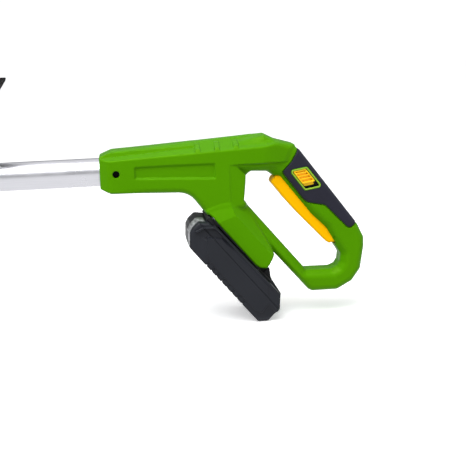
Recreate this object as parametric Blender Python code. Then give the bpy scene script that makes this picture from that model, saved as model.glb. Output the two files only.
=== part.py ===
"""Cordless string trimmer with a rear D-handle, a slide-on battery under an inclined foot,
a telescopic boom and a tilting cutting head.

Lengths are written in millimetres and become metres in new_object() and frame(). The tool frame
has +X along the boom towards the rear handle, +Z up and +Y to the operator's right, with its
origin on the boom's axis at the housing's mouth. Slanted assemblies have frames of their own,
turned about Y, so that their pieces are drawn square.
"""

import math

import bmesh
import bpy
from mathutils import Matrix, Vector

MM = 0.001
GAP = 0.3

# Driving dimensions
AXIS_HEIGHT = 154.0          # boom axis above the ground when the tool lies down
TOOL_X = 292.6               # tool origin from the middle of the whole length
TUBE_R = 14.0                # upper boom tube, outside
TUBE_WALL = 1.3
INNER_TUBE_R = 12.3          # lower boom tube, outside, running inside the upper one
INNER_TUBE_WALL = 1.2
UPPER_TUBE = (-450.0, 60.0)
LOWER_TUBE = (-621.0, -175.0)
BARREL_HALF = 24.0           # half widths of the housing
HANDLE_HALF = 16.5
FOOT_HALF = 30.0
GRIP_AT = (199.3, 13.4)      # top of the grip's spine
GRIP_SLOPE = 53.4
DOCK_AT = (107.3, -46.1)     # upper end of the foot's lower face
DOCK_SLOPE = 50.5
BATTERY_HALF = 37.5
CELL_R = 9.0
CELL_LENGTH = 65.0
CELLS = 5
LEVER_PIVOT = (-460.0, 24.6)  # cam lever's pin, over the boom collar
LOOP_PIVOT = (-173.5, -24.0)  # front handle's hinge, under the boom
LOOP_LEAN = 34.0
LOOP_HEIGHT = 133.0
LOOP_FOOT = 28.5             # half spread of the loop's feet
MOTOR_AXIS_X = -690.0        # where the motor's axis crosses the boom's axis
HEAD_TILT = 35.0
GUARD_RADIUS = 150.0
SKIRT_BOTTOM = -12.0
PIVOT_BACK = 45.0            # tilt pivot behind the motor's axis, along the boom

# The guard's rear edge touches the ground, which sets the height of the cutting plane.
HEAD_SIN = math.sin(math.radians(HEAD_TILT))
HEAD_COS = math.cos(math.radians(HEAD_TILT))
HEAD_Z = -AXIS_HEIGHT + GUARD_RADIUS * HEAD_SIN - SKIRT_BOTTOM * HEAD_COS
AXIS_RISE = -HEAD_Z / HEAD_COS
HEAD_X = MOTOR_AXIS_X - AXIS_RISE * HEAD_SIN
PIVOT_X = MOTOR_AXIS_X + PIVOT_BACK
PIVOT_LOCAL = (PIVOT_BACK * HEAD_COS, AXIS_RISE + PIVOT_BACK * HEAD_SIN)


# ---------------------------------------------------------------- scene, frames and materials

def clear_scene():
    for obj in list(bpy.data.objects):
        bpy.data.objects.remove(obj)


def frame(name, parent=None, x=0.0, z=0.0, slope=0.0):
    """An empty at (x, z) in its parent's XZ plane, its X axis turned down by slope degrees."""
    empty = bpy.data.objects.new(name, None)
    bpy.context.scene.collection.objects.link(empty)
    empty.parent = parent
    empty.location = (x * MM, 0, z * MM)
    empty.rotation_euler = (0, math.radians(slope), 0)
    return empty


def material(name, colour, roughness, metallic=0.0):
    made = bpy.data.materials.new(name)
    made.use_nodes = True
    surface = made.node_tree.nodes["Principled BSDF"]
    surface.inputs["Base Color"].default_value = (*colour, 1)
    surface.inputs["Roughness"].default_value = roughness
    surface.inputs["Metallic"].default_value = metallic
    made.diffuse_color = (*colour, 1)
    return made


def new_object(name, shape, parent, finish=None, at=(0, 0, 0)):
    """Turns a bmesh drawn in the parent's millimetres into an object with its origin at a point."""
    bmesh.ops.translate(shape, vec=-Vector(at), verts=shape.verts)
    bmesh.ops.scale(shape, vec=(MM, MM, MM), verts=shape.verts)
    bmesh.ops.recalc_face_normals(shape, faces=shape.faces)
    mesh = bpy.data.meshes.new(name)
    shape.to_mesh(mesh)
    shape.free()
    mesh.shade_smooth()
    mesh.set_sharp_from_angle(angle=math.radians(32))
    obj = bpy.data.objects.new(name, mesh)
    bpy.context.scene.collection.objects.link(obj)
    obj.parent = parent
    obj.location = Vector(at) * MM
    if finish:
        mesh.materials.append(finish)
    return obj


def combine(target, operation, shape, parent=None):
    """Adds an exact Boolean of a hidden helper, drawn in the target's frame or another one."""
    helper = new_object(f"{target.name}_tool", shape, parent or target.parent)
    helper.hide_render = True
    helper.display_type = "WIRE"
    step = target.modifiers.new(operation.lower(), "BOOLEAN")
    step.operation = operation
    step.solver = "EXACT"
    step.object = helper
    return helper


def cut(target, shape, parent=None):
    return combine(target, "DIFFERENCE", shape, parent)


def unite(target, shape, parent=None):
    return combine(target, "UNION", shape, parent)


# ---------------------------------------------------------------- outlines

def arc(centre, radius, start, end, steps):
    """Points on an arc, in degrees, both ends included."""
    turn = [math.radians(start + (end - start) * i / steps) for i in range(steps + 1)]
    return [(centre[0] + radius * math.cos(a), centre[1] + radius * math.sin(a)) for a in turn]


def rounded(points, radius, steps=2):
    """The outline with every corner rounded; a radius may be one number or one for each corner."""
    radii = radius if isinstance(radius, (list, tuple)) else [radius] * len(points)
    made = []
    for i, corner in enumerate(points):
        here = Vector(corner)
        before = (Vector(points[i - 1]) - here).normalized()
        after = (Vector(points[(i + 1) % len(points)]) - here).normalized()
        half = before.angle(after) / 2
        if radii[i] <= 0 or half > math.radians(86):
            made.append(tuple(here))
            continue
        reach = radii[i] / math.tan(half)
        centre = here + (before + after).normalized() * radii[i] / math.sin(half)
        first = here + before * reach - centre
        last = here + after * reach - centre
        sweep = first.angle_signed(last)
        for k in range(steps + 1):
            a = -sweep * k / steps
            turned = Vector((first.x * math.cos(a) - first.y * math.sin(a),
                             first.x * math.sin(a) + first.y * math.cos(a)))
            made.append(tuple(centre + turned))
    return made


def offset(points, by):
    """The outline moved outwards by a distance, or inwards where it is negative."""
    area = sum(a[0] * b[1] - b[0] * a[1] for a, b in zip(points, points[1:] + points[:1]))
    way = by if area > 0 else -by
    made = []
    for i, corner in enumerate(points):
        into = (Vector(corner) - Vector(points[i - 1])).normalized()
        out = (Vector(points[(i + 1) % len(points)]) - Vector(corner)).normalized()
        normal = Vector((into.y + out.y, -into.x - out.x)).normalized()
        made.append(tuple(Vector(corner) + normal * way / max(0.4, normal.dot((into.y, -into.x)))))
    return made


def circle(centre, radius, sides):
    return arc(centre, radius, 0, 360 * (sides - 1) / sides, sides - 1)


# ---------------------------------------------------------------- shapes

def extruded(points, start, end, chamfer, place):
    """A prism on an outline between two depths, with a chamfer round its end face."""
    shape = bmesh.new()
    face = shape.faces.new([shape.verts.new(place(p, start)) for p in points])
    made = bmesh.ops.extrude_face_region(shape, geom=[face])["geom"]
    lid = [g for g in made if isinstance(g, bmesh.types.BMFace)][0]
    flat_end = end - math.copysign(chamfer, end - start)
    run = Vector(place((0, 0), flat_end)) - Vector(place((0, 0), start))
    bmesh.ops.translate(shape, vec=run, verts=lid.verts)
    if chamfer:
        bmesh.ops.recalc_face_normals(shape, faces=shape.faces)
        bmesh.ops.inset_region(shape, faces=[lid], thickness=chamfer, depth=0)
        rise = Vector(place((0, 0), end)) - Vector(place((0, 0), flat_end))
        bmesh.ops.translate(shape, vec=rise, verts=lid.verts)
    return shape


def side_prism(points, y_start, y_end, chamfer=0.0):
    """An XZ outline extruded along Y, chamfered at y_end."""
    return extruded(points, y_start, y_end, chamfer, lambda p, depth: (p[0], depth, p[1]))


def plan_prism(points, z_start, z_end, chamfer=0.0):
    """An XY outline extruded along Z, chamfered at z_end."""
    return extruded(points, z_start, z_end, chamfer, lambda p, depth: (p[0], p[1], depth))


def box(x0, x1, y0, y1, z0, z1):
    return side_prism([(x0, z0), (x1, z0), (x1, z1), (x0, z1)], y0, y1)


def rod_y(x, z, radius, y0, y1, sides=16, chamfer=0.0):
    return side_prism(circle((x, z), radius, sides), y0, y1, chamfer)


def turned(profile, sides=24, closed=False):
    """A profile of (radius, z) turned about Z; a closed one makes a ring, else it ends on the axis."""
    shape = bmesh.new()
    rings = []
    for radius, z in profile:
        if radius < 1e-6:
            rings.append([shape.verts.new((0, 0, z))])
            continue
        spin = [2 * math.pi * k / sides for k in range(sides)]
        rings.append([shape.verts.new((radius * math.cos(a), radius * math.sin(a), z)) for a in spin])
    pairs = list(zip(rings, rings[1:]))
    if closed:
        pairs.append((rings[-1], rings[0]))
    for lower, upper in pairs:
        for k in range(sides):
            n = (k + 1) % sides
            if len(lower) == 1:
                shape.faces.new((lower[0], upper[k], upper[n]))
            elif len(upper) == 1:
                shape.faces.new((lower[k], lower[n], upper[0]))
            else:
                shape.faces.new((lower[k], lower[n], upper[n], upper[k]))
    return shape


def along_x(shape, x=0.0, z=0.0):
    """Lays a shape turned about Z along X instead."""
    bmesh.ops.rotate(shape, cent=(0, 0, 0), matrix=Matrix.Rotation(math.pi / 2, 3, "Y"), verts=shape.verts)
    bmesh.ops.translate(shape, vec=(x, 0, z), verts=shape.verts)
    return shape


def shifted(shape, x=0.0, y=0.0, z=0.0):
    bmesh.ops.translate(shape, vec=(x, y, z), verts=shape.verts)
    return shape


def pipe_x(x0, x1, outer, inner, sides=32):
    return along_x(turned([(outer, x0), (outer, x1), (inner, x1), (inner, x0)], sides, closed=True))


def rod_x(x0, x1, radius, sides=24, z=0.0):
    return along_x(turned([(0, x0), (radius, x0), (radius, x1), (0, x1)], sides), z=z)


def swept(points, radius, sides=10, closed=False):
    """A round bar along a list of points, mitred at each of them."""
    shape = bmesh.new()
    points = [Vector(p) for p in points]
    count = len(points)
    rings = []
    side = None
    for i, p in enumerate(points):
        before = p - points[i - 1] if i or closed else points[1] - p
        after = points[(i + 1) % count] - p if i < count - 1 or closed else p - points[i - 1]
        run = (before.normalized() + after.normalized()).normalized()
        side = run.orthogonal() if side is None else side - run * side.dot(run)
        side.normalize()
        other = run.cross(side)
        spin = [2 * math.pi * k / sides for k in range(sides)]
        rings.append([shape.verts.new(p + (side * math.cos(a) + other * math.sin(a)) * radius) for a in spin])
    pairs = list(zip(rings, rings[1:]))
    if closed:
        pairs.append((rings[-1], rings[0]))
    for lower, upper in pairs:
        for k in range(sides):
            n = (k + 1) % sides
            shape.faces.new((lower[k], lower[n], upper[n], upper[k]))
    if not closed:
        shape.faces.new(rings[0])
        shape.faces.new(rings[-1])
    return shape


# ---------------------------------------------------------------- housing outlines, tool frame

BARREL = [(0, 17), (11, 22), (62, 25), (96, 27.3), (152, 30.5), (164, 30.8), (176, 24.5), (192, 18.5),
          (184, -5), (168, -20), (141, -34), (104, -38), (98.5, -35), (88.8, -25.6), (82.5, -23.6),
          (9, -20), (0, -17)]
LOOP = [(120, 20), (164, 30.4), (176, 24.3), (194, 18.3), GRIP_AT, (257.2, -65.3), (263.2, -78.5),
        (263.2, -87.5), (259.2, -111), (250, -123.5), (234.5, -131.6), (208.6, -131.6), (204.6, -129.4),
        (163, -80.4), (120, -30)]
D_HOLE = [(144, -9.9), (149.3, -5), (166.5, -5.9), (174.7, -12), (178.5, -13.8), (209.4, -54), (223.9, -68.5),
          (230.5, -80.5), (239.3, -95), (238.2, -103.8), (235.2, -109.6), (229.2, -112.4), (205, -112),
          (141.2, -34)]
FOOT = [(100.6, -40), (107.3, -46.1), (149.7, -98.1), (154.1, -100.8), (161, -100.3), (164.4, -96.4),
        (164.4, -84), (137, -37), (114, -36.8)]

# Front handle's bar in its own frame, (y, z), from one foot over the top to the other.
LOOP_LINE = [(-LOOP_FOOT, 0), (-LOOP_FOOT, 26), (-58, 62), (-46, LOOP_HEIGHT), (46, LOOP_HEIGHT), (58, 62),
             (LOOP_FOOT, 26), (LOOP_FOOT, 0)]

# Grip frame: X down the spine, Z out of the hand side of the grip.
PAD = [(-4, 3), (3.4, -13.6), (5.5, -26.4), (7.5, -27.6), (41, -27.8), (46, -26.6), (59.5, -14.4),
       (65.9, -13.6), (91.4, -10.7), (94.6, -8.5), (95, 3)]
WINDOW_SHEAR = 0.52
WINDOW_DEPTH = (-20.6, -5.2)
WINDOW_RUN = (9.6, 34.6)
TRIGGER_PIVOT = (93.5, -25.0)
TRIGGER = [(7.4, -34), (8.6, -39.4), (12, -40.8), (54, -40.6), (79, -37), (93, -36.8), (98, -33), (98, -25),
           (93, -20.6), (86, -26), (10, -26)]
SCREWS = [(150, 12), (252, -100), (128, -22)]
HEAD_SCREW = (-12, 70)


def sheared(run, depth):
    """The lock window's slanted outline in the grip frame."""
    low, high = depth
    lean = WINDOW_SHEAR * (high - low)
    return [(run[0], low), (run[1], low), (run[1] + lean, high), (run[0] + lean, high)]


WINDOW = rounded(sheared(WINDOW_RUN, WINDOW_DEPTH), 1.5)
SLIDE = rounded(sheared((12.2, 28.6), (-19.3, -6.5)), 1.2)


# ---------------------------------------------------------------- housing

def handle_body(side):
    """The loop of one shell, before its insides are cut: a chamfered outline."""
    return side_prism(LOOP, side * GAP / 2, side * HANDLE_HALF, 4.0)


def pad_zone(grow, side):
    """The skin that the pad fills: the side and the spine of the grip, as a helper shape."""
    return side_prism(offset(PAD, grow), side * (GAP / 2 - grow), side * (HANDLE_HALF + 3))


def build_shell(name, side, tool, grip, dock, finish):
    shell = new_object(name, handle_body(side), tool, finish)
    unite(shell, side_prism(BARREL, side * GAP / 2, side * BARREL_HALF, 4.0))
    unite(shell, side_prism(FOOT, side * GAP / 2, side * FOOT_HALF, 4.0))
    cut(shell, side_prism(D_HOLE, -40, 40))

    # hollow insides, left solid round each screw
    room = cut(shell, side_prism(offset(BARREL, -3), -1 * side, side * (BARREL_HALF - 3)))
    cut(room, box(-5, 40, -40, 40, -40, 40), tool)
    cut(room, side_prism(offset(D_HOLE, 4), -40, 40), tool)
    ring = cut(shell, side_prism(offset(LOOP, -4), -1 * side, side * (HANDLE_HALF - 5)))
    cut(ring, side_prism(offset(D_HOLE, 4.5), -41, 41), tool)
    cut(ring, box(-40, 104, -40, 40, -60, 10), grip)
    cut(ring, box(-60, 83, -40, 40, -60, 26), dock)
    for x, z in SCREWS:
        for hollow in (room, ring):
            cut(hollow, rod_y(x, z, 4.2, -30, 30, 10), tool)

    # mouth bore, bolt hole, grip pocket, trigger slot and dock bay
    cut(shell, rod_x(-5, UPPER_TUBE[1] + GAP, TUBE_R + GAP, 32))
    cut(shell, rod_y(16.8, -0.7, 3.4, -40, 40, 12))
    cut(shell, box(5.5, 99.3, -1 * side, side * 11.4, -50, -19.5), grip)
    cut(shell, box(8, 84, -1 * side, side * 11.6, -27, -6), grip)
    cut(shell, side_prism(WINDOW, side * 10, side * 30), grip)
    cut(shell, rod_y(*TRIGGER_PIVOT, 2.3, -14, 14, 12), grip)
    cut(shell, box(1.5, 95, -1 * side, side * 27.7, -9, 14), dock)

    skin = cut(shell, pad_zone(GAP, side), grip)
    cut(skin, box(-40, 120, -40, side * 13.4, -50, -3) if side > 0 else
        box(-40, 120, side * 13.4, 40, -50, -3), grip)
    for x, z in SCREWS:
        cut(shell, rod_y(x, z, 1.8, -8, 40, 10))
        if side > 0:
            cut(shell, rod_y(x, z, 3.6, 8, 40, 10))
    return shell


def build_pad(name, side, tool, grip, finish):
    pad = new_object(name, pad_zone(0, side), grip, finish)
    combine(pad, "INTERSECT", handle_body(side), tool)
    low, high = sorted((side * -20, side * 13.7))
    cut(pad, box(-40, 120, low, high, -50, -2.7), grip)
    cut(pad, side_prism(WINDOW, side * 10, side * 30), grip)
    return pad


def build_housing(tool, grip, dock, skins):
    for name, side in (("left", -1), ("right", 1)):
        build_shell(f"handle_shell_{name}", side, tool, grip, dock, skins["green"])
        build_pad(f"grip_pad_{name}", side, tool, grip, skins["rubber"])

    switch = new_object("trigger_switch", box(45.5, 63, -7, 7, -19.2, -7), grip, skins["black"])
    unite(switch, box(52, 56, -2.5, 2.5, -22.8, -18))
    new_object("trigger_pin", rod_y(*TRIGGER_PIVOT, 2.0, -13.6, 13.6, 12), grip, skins["steel"])
    new_object("trigger_spring", shifted(turned([(3.2, -25.6), (3.2, -6.3), (2.3, -6.3), (2.3, -25.6)],
                                                12, closed=True), x=70), grip, skins["steel"])
    new_object("lock_spring", shifted(rod_x(33.2, 45.2, 2.2, 10), z=-13), grip, skins["steel"])

    bay = new_object("battery_dock", box(12, 62, -27.3, 27.3, 0.5, 13.6), dock, skins["black"])
    cut(bay, box(0, 80, -25.3, 25.3, 4.7, 9.8))
    cut(bay, box(0, 80, -21.3, 21.3, -2, 9.8))
    block = new_object("terminal_block", box(2, 11.6, -20, 20, 1, 13.6), dock, skins["black"])
    for y in (-13, 0, 13):
        unite(block, box(11, 28, y - 0.6, y + 0.6, 2, 7.5))

    new_object("tube_bolt", rod_y(16.8, -0.7, 3.0, -19, 19, 12), tool, skins["steel"])
    for i, (x, z) in enumerate(SCREWS):
        screw = new_object(f"shell_screw_{i + 1}", rod_y(x, z, 1.5, -7.4, 9, 10), tool, skins["steel"])
        unite(screw, rod_y(x, z, 3.2, 8.4, 10.8, 10))


def build_controls(grip, skins):
    x, z = TRIGGER_PIVOT
    trigger = new_object("trigger", side_prism(TRIGGER, 0, 10.8, 1.5), grip, skins["orange"], at=(x, 0, z))
    unite(trigger, side_prism(TRIGGER, 0.5, -10.8, 1.5), grip)
    cut(trigger, rod_y(x, z, 2.3, -20, 20, 12), grip)

    slide = new_object("lock_slide", side_prism(SLIDE, -17.2, 17.2), grip, skins["orange"])
    cut(slide, box(0, 60, -15.5, -30, -17, -8.5))
    cut(slide, box(0, 60, 15.5, 30, -17, -8.5))
    for step in range(4):
        rib = sheared((14.2 + 4 * step, 15.8 + 4 * step), (-18.2, -7.4))
        unite(slide, side_prism(rib, -17.0, 17.0))


# ---------------------------------------------------------------- boom and front handle

def build_boom(tool, lever_pivot, skins):
    upper = new_object("upper_tube", pipe_x(*UPPER_TUBE, TUBE_R, TUBE_R - TUBE_WALL), tool,
                       skins["aluminium"])
    cut(upper, rod_y(16.8, -0.7, 3.4, -30, 30, 12))
    new_object("lower_tube", pipe_x(*LOWER_TUBE, INNER_TUBE_R, INNER_TUBE_R - INNER_TUBE_WALL), tool,
               skins["aluminium"])
    lead = [(0, 0), (7.5, 0), (7.5, 420), (0, 420)]
    new_object("coiled_lead", along_x(turned(lead, 12), x=-470), tool, skins["black"])

    start = UPPER_TUBE[0] - 22
    collar_line = [(TUBE_R + GAP, 22 - GAP), (TUBE_R + GAP, 62), (17.5, 62), (20, 56), (20, 6), (17, 0),
                   (INNER_TUBE_R + GAP, 0), (INNER_TUBE_R + GAP, 22 - GAP)]
    collar = new_object("boom_collar", along_x(turned(collar_line, 28, closed=True), x=start), tool,
                        skins["black"])
    ear = [(start + 2, 14), (start + 20, 14), (start + 18, 28), (start + 6, 28)]
    for side in (-1, 1):
        unite(collar, side_prism(rounded(ear, 2), side * 6.3, side * 11))
    cut(collar, rod_y(lever_pivot[0], lever_pivot[1], 2.3, -20, 20, 12))
    new_object("cam_pin", rod_y(*lever_pivot, 2.0, -11, 11, 12), tool, skins["steel"])
    x, z = lever_pivot
    blade = [(x - 3.5, z - 1.0), (x, z - 3.5), (x + 5, z - 1.2), (x + 46, z - 1.2), (x + 49, z + 3),
             (x + 4, z + 4), (x - 2, z + 3.4)]
    lever = new_object("cam_lever", side_prism(blade, -5.9, 5.9), tool, skins["orange"], at=(x, 0, z))
    cut(lever, rod_y(x, z, 2.3, -20, 20, 12), tool)


def build_front_handle(tool, loop, skins):
    x, z = LOOP_PIVOT
    clamp = [(0, x - 17), (18.5, x - 17), (18.5, x + 17), (0, x + 17)]
    for name, side in (("upper", 1), ("lower", -1)):
        half = new_object(f"aux_clamp_{name}", along_x(turned(clamp, 28)), tool, skins["black"])
        unite(half, box(x - 17, x + 17, -20, 20, -5, 5))
        if side < 0:
            unite(half, rod_y(x, z, 9, -17, 17, 20))
            unite(half, box(x - 9, x + 9, -17, 17, z, -8))
            cut(half, rod_y(x, z, 3.4, -30, 30, 12))
        cut(half, rod_x(x - 30, x + 30, TUBE_R + GAP, 32))
        cut(half, box(x - 40, x + 40, -40, 40, -side * 40, side * GAP / 2))

    path = [(0, y, z) for y, z in rounded(LOOP_LINE, [0, 14, 24, 26, 26, 24, 14, 0], 4)]
    ring = new_object("aux_handle_loop", swept(path, 7.5, 10), loop, skins["black"])
    for side in (-1, 1):
        unite(ring, rod_y(0, 0, 10, side * 17.4, side * 36.2, 20))
    cut(ring, rod_y(0, 0, 3.4, -40, 40, 12))
    sleeve = [p for p in path if p[2] > LOOP_HEIGHT * 0.66]
    grip = new_object("aux_grip", swept(sleeve, 10.5, 12), loop, skins["rubber"])
    cut(grip, swept(path, 7.5 + GAP, 10), loop)

    bolt = new_object("aux_bolt", rod_y(x, z, 3.0, -39, 46, 12), tool, skins["steel"])
    unite(bolt, rod_y(x, z, 6.5, -40.4, -36.6, 6))
    star = []
    for i in range(6):
        middle = 60 * i
        star += arc((x, z), 14, middle - 17, middle + 17, 3)
        star += arc((x, z), 10.5, middle + 26, middle + 34, 1)
    knob = new_object("aux_knob", side_prism(star, 36.7, 50, 2.0), tool, skins["black"], at=(x, 0, z))
    cut(knob, rod_y(x, z, 3.3, 20, 46.6, 12), tool)


# ---------------------------------------------------------------- cutting head

def build_neck(tool, skins):
    neck = new_object("head_neck", rod_x(PIVOT_X + 16.5, PIVOT_X + 62, 16.5, 28), tool, skins["black"])
    unite(neck, box(PIVOT_X, PIVOT_X + 20, -9.7, 9.7, -14, 14))
    unite(neck, rod_y(PIVOT_X, 0, 14.5, -9.7, 9.7, 28))
    cut(neck, rod_x(LOWER_TUBE[0] - GAP, PIVOT_X + 70, INNER_TUBE_R + GAP, 32))
    cut(neck, rod_y(PIVOT_X, 0, 3.3, -20, 20, 14))
    x = PIVOT_X + 8
    cut(neck, shifted(turned([(0, 6), (4.6, 6), (4.6, 30), (0, 30)], 16), x=x))
    ring = [(3.4, 6.3), (3.4, 8.5), (2.6, 8.5), (2.6, 6.3)]
    new_object("tilt_spring", shifted(turned(ring, 12, closed=True), x=x), tool, skins["steel"])
    button = [(0, 8.8), (4.2, 8.8), (4.2, 18.2), (3.4, 19), (0, 19)]
    new_object("tilt_button", shifted(turned(button, 16), x=x), tool, skins["orange"])
    new_object("tilt_pin", rod_y(PIVOT_X, 0, 3.0, -16.6, 16.6, 14), tool, skins["steel"])


def build_head(head, skins):
    px, pz = PIVOT_LOCAL
    dome = [(0, 10), (38, 10), (38, 38), (35, 56), (28, 69), (15, 77), (0, 78.5)]
    arm = [(-10, 60), (-6, 78)] + arc((px, pz), 15, 150, -60, 8) + [(38, 50), (10, 45)]
    for name, side in (("left", -1), ("right", 1)):
        shell = new_object(f"head_shell_{name}", turned(dome, 28), head, skins["green"])
        unite(shell, side_prism(arm, -17, 17))
        cut(shell, turned([(0, 15.7), (26, 15.7), (26, 66), (0, 66)], 28))
        cut(shell, turned([(0, -5), (6, -5), (6, 20), (0, 20)], 16))
        cut(shell, box(px - 17, 120, -10, 10, pz - 17, 160))
        cut(shell, rod_y(px, pz, 3.3, -20, 20, 14))
        cut(shell, box(-80, 120, -side * 90, side * GAP / 2, -20, 160))
        cut(shell, rod_y(*HEAD_SCREW, 1.6, -7, 40, 10))
        if side > 0:
            cut(shell, rod_y(*HEAD_SCREW, 3.4, 10, 60, 10))
        for angle in (150, 210):
            x, y = arc((0, 0), 32, angle, angle, 1)[0]
            cut(shell, shifted(turned([(0, 0), (1.6, 0), (1.6, 20), (0, 20)], 10), x, y))
        cut(shell, rod_y(0, 24, 2.3, side * 31, side * 60, 12))
    screw = new_object("head_screw", rod_y(*HEAD_SCREW, 1.3, -6, 11, 10), head, skins["steel"])
    unite(screw, rod_y(*HEAD_SCREW, 3.0, 10.4, 12.6, 10))

    can = [(0, 65.5), (21, 65.5), (25.4, 60), (25.4, 16), (21.4, 16), (21.4, 58), (20, 62), (0, 62)]
    new_object("motor_can", turned(can, 28), head, skins["steel"])


def fan(radius, half_angle, hub, steps):
    """A sector behind the head joined to a round hub."""
    rim = arc((0, 0), radius, -half_angle, half_angle, steps)
    return rim + arc((0, 0), hub, half_angle + 22, 338 - half_angle, 14)


def build_guard(head, skins):
    half = 78
    guard = new_object("guard", plan_prism(fan(GUARD_RADIUS, half, 50, 28), 5, 9.7), head, skins["black"])
    rim = arc((0, 0), GUARD_RADIUS, -half, half, 28) + arc((0, 0), GUARD_RADIUS - 3.5, half, -half, 28)
    unite(guard, plan_prism(rim, 7, SKIRT_BOTTOM))
    cut(guard, turned([(0, -5), (8, -5), (8, 20), (0, 20)], 16))
    for i, angle in enumerate((150, 210)):
        x, y = arc((0, 0), 32, angle, angle, 1)[0]
        cut(guard, shifted(turned([(0, 0), (1.8, 0), (1.8, 20), (0, 20)], 10), x, y))
        shank = [(0, 3.2), (3.2, 3.2), (3.2, 4.7), (1.4, 4.7), (1.4, 15), (0, 15)]
        new_object(f"guard_screw_{i + 1}", shifted(turned(shank, 10), x, y), head, skins["steel"])
    blade = new_object("line_cutter", box(122, 142, -0.8, 0.8, -9, 4.6), head, skins["steel"])
    blade.rotation_euler = (0, 0, math.radians(-66))


def build_plant_guard(head, skins):
    """A wire bow that keeps the line off plants, hinged on both sides of the head."""
    radius, arm_y = 140.0, 74.0
    reach = math.sqrt(radius ** 2 - arm_y ** 2)
    edge = math.degrees(math.asin(arm_y / radius))
    front = [(x, y, -2) for x, y in arc((0, 0), radius, 180 - edge, 180 + edge, 12)]
    near = [(0, 35, 24), (0, 41, 24), (-6, 44.5, 24), (-30, 52, 24), (-reach + 14, arm_y - 2, 23),
            (-reach + 3, arm_y, 14)]
    far = [(x, -y, z) for x, y, z in reversed(near)]
    new_object("plant_guard_wire", swept(near + front + far, 1.8, 8), head, skins["steel"], at=(0, 0, 24))


def build_spool(head, skins):
    rotor = [(0, 59), (18.5, 59), (18.5, 22), (4, 22), (4, -2), (0, -2)]
    new_object("motor_rotor", turned(rotor, 20), head, skins["steel"])
    cup = [(4.3, 3), (14, 3), (38, 3), (46, -1), (46, -20), (43.4, -20), (43.4, -1.5), (38, 0), (4.3, 0)]
    housing = new_object("spool_housing", turned(cup, 32, closed=True), head, skins["black"])
    cut(housing, rod_x(-60, 60, 3.5, 12, z=-11))
    for i, side in enumerate((-1, 1)):
        new_object(f"eyelet_{i + 1}", shifted(pipe_x(-2.6, 2.6, 3.2, 1.3, 12), x=side * 45.6, z=-11), head,
                   skins["steel"])
    ring = [(46, -20.3), (46, -24), (42, -27), (28, -27), (28, -24.6), (41, -24.6), (42.6, -20.3)]
    new_object("spool_cover", turned(ring, 32, closed=True), head, skins["black"])
    drum = [(9, -5), (40, -5), (40, -6.6), (22, -6.6), (22, -17.4), (40, -17.4), (40, -19), (9, -19)]
    new_object("line_bobbin", turned(drum, 28, closed=True), head, skins["orange"])
    coil = [(22.3, -7), (35, -7.6), (36, -12), (35, -16.4), (22.3, -17)]
    new_object("wound_line", turned(coil, 28, closed=True), head, skins["line"])
    spring = [(12, -4.7), (12, -0.3), (10.4, -0.3), (10.4, -4.7)]
    new_object("spool_spring", turned(spring, 20, closed=True), head, skins["steel"])
    cap = [(0, -19.3), (26, -19.3), (27, -24), (27, -33), (22, -38), (0, -40)]
    new_object("bump_cap", turned(cap, 28), head, skins["black"])


# ---------------------------------------------------------------- battery

CASE = [(7.8, -36.3), (-2.4, -26.8), (1.2, -12.7), (9.6, -3.3), (104, -1.6), (114.8, -12.1), (116.33, -28.5),
        (109.9, -36.3)]
SEAM = -12.7


def build_battery(dock, skins):
    lower = new_object("battery_case_lower", side_prism(CASE, -BATTERY_HALF, BATTERY_HALF), dock,
                       skins["battery"])
    cut(lower, box(-20, 140, -60, 60, SEAM - GAP / 2, 20))
    cut(lower, box(5, 109, -34.5, 34.5, -33.8, 0))
    upper = new_object("battery_case_upper", side_prism(CASE, -BATTERY_HALF, BATTERY_HALF), dock,
                       skins["battery"])
    cut(upper, box(-20, 140, -60, 60, -60, SEAM + GAP / 2))
    cut(upper, box(8, 108, -34.5, 34.5, -30, -6))
    unite(upper, box(14, 72, -21, 21, -4, 9.4))
    unite(upper, box(14, 72, -25, 25, 5, 9.4))
    for y in (-13, 0, 13):
        cut(upper, box(10, 30, y - 1.2, y + 1.2, 1.2, 20))
    cut(upper, box(80, 100, -15.3, 15.3, -5.8, 20))
    cut(upper, box(84, 96, -8, 8, -20, 0))
    wedge = [(80.3, -2), (80.3, 6.6), (86, 3.4), (99.7, -0.4), (99.7, -2)]
    new_object("battery_latch", side_prism(wedge, -15, 15), dock, skins["black"])
    ring = [(3, -11.2), (3, -2.3), (2.2, -2.3), (2.2, -11.2)]
    new_object("latch_spring", shifted(turned(ring, 12, closed=True), x=90), dock, skins["steel"])
    half = CELL_LENGTH / 2
    for i in range(CELLS):
        new_object(f"battery_cell_{i + 1}", rod_y(16.5 + 20.5 * i, -24.4, CELL_R, -half, half, 16), dock,
                   skins["cell"])
    new_object("battery_board", box(12, 104, -30, 30, -13.6, -12), dock, skins["board"])


# ---------------------------------------------------------------- the trimmer

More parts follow.
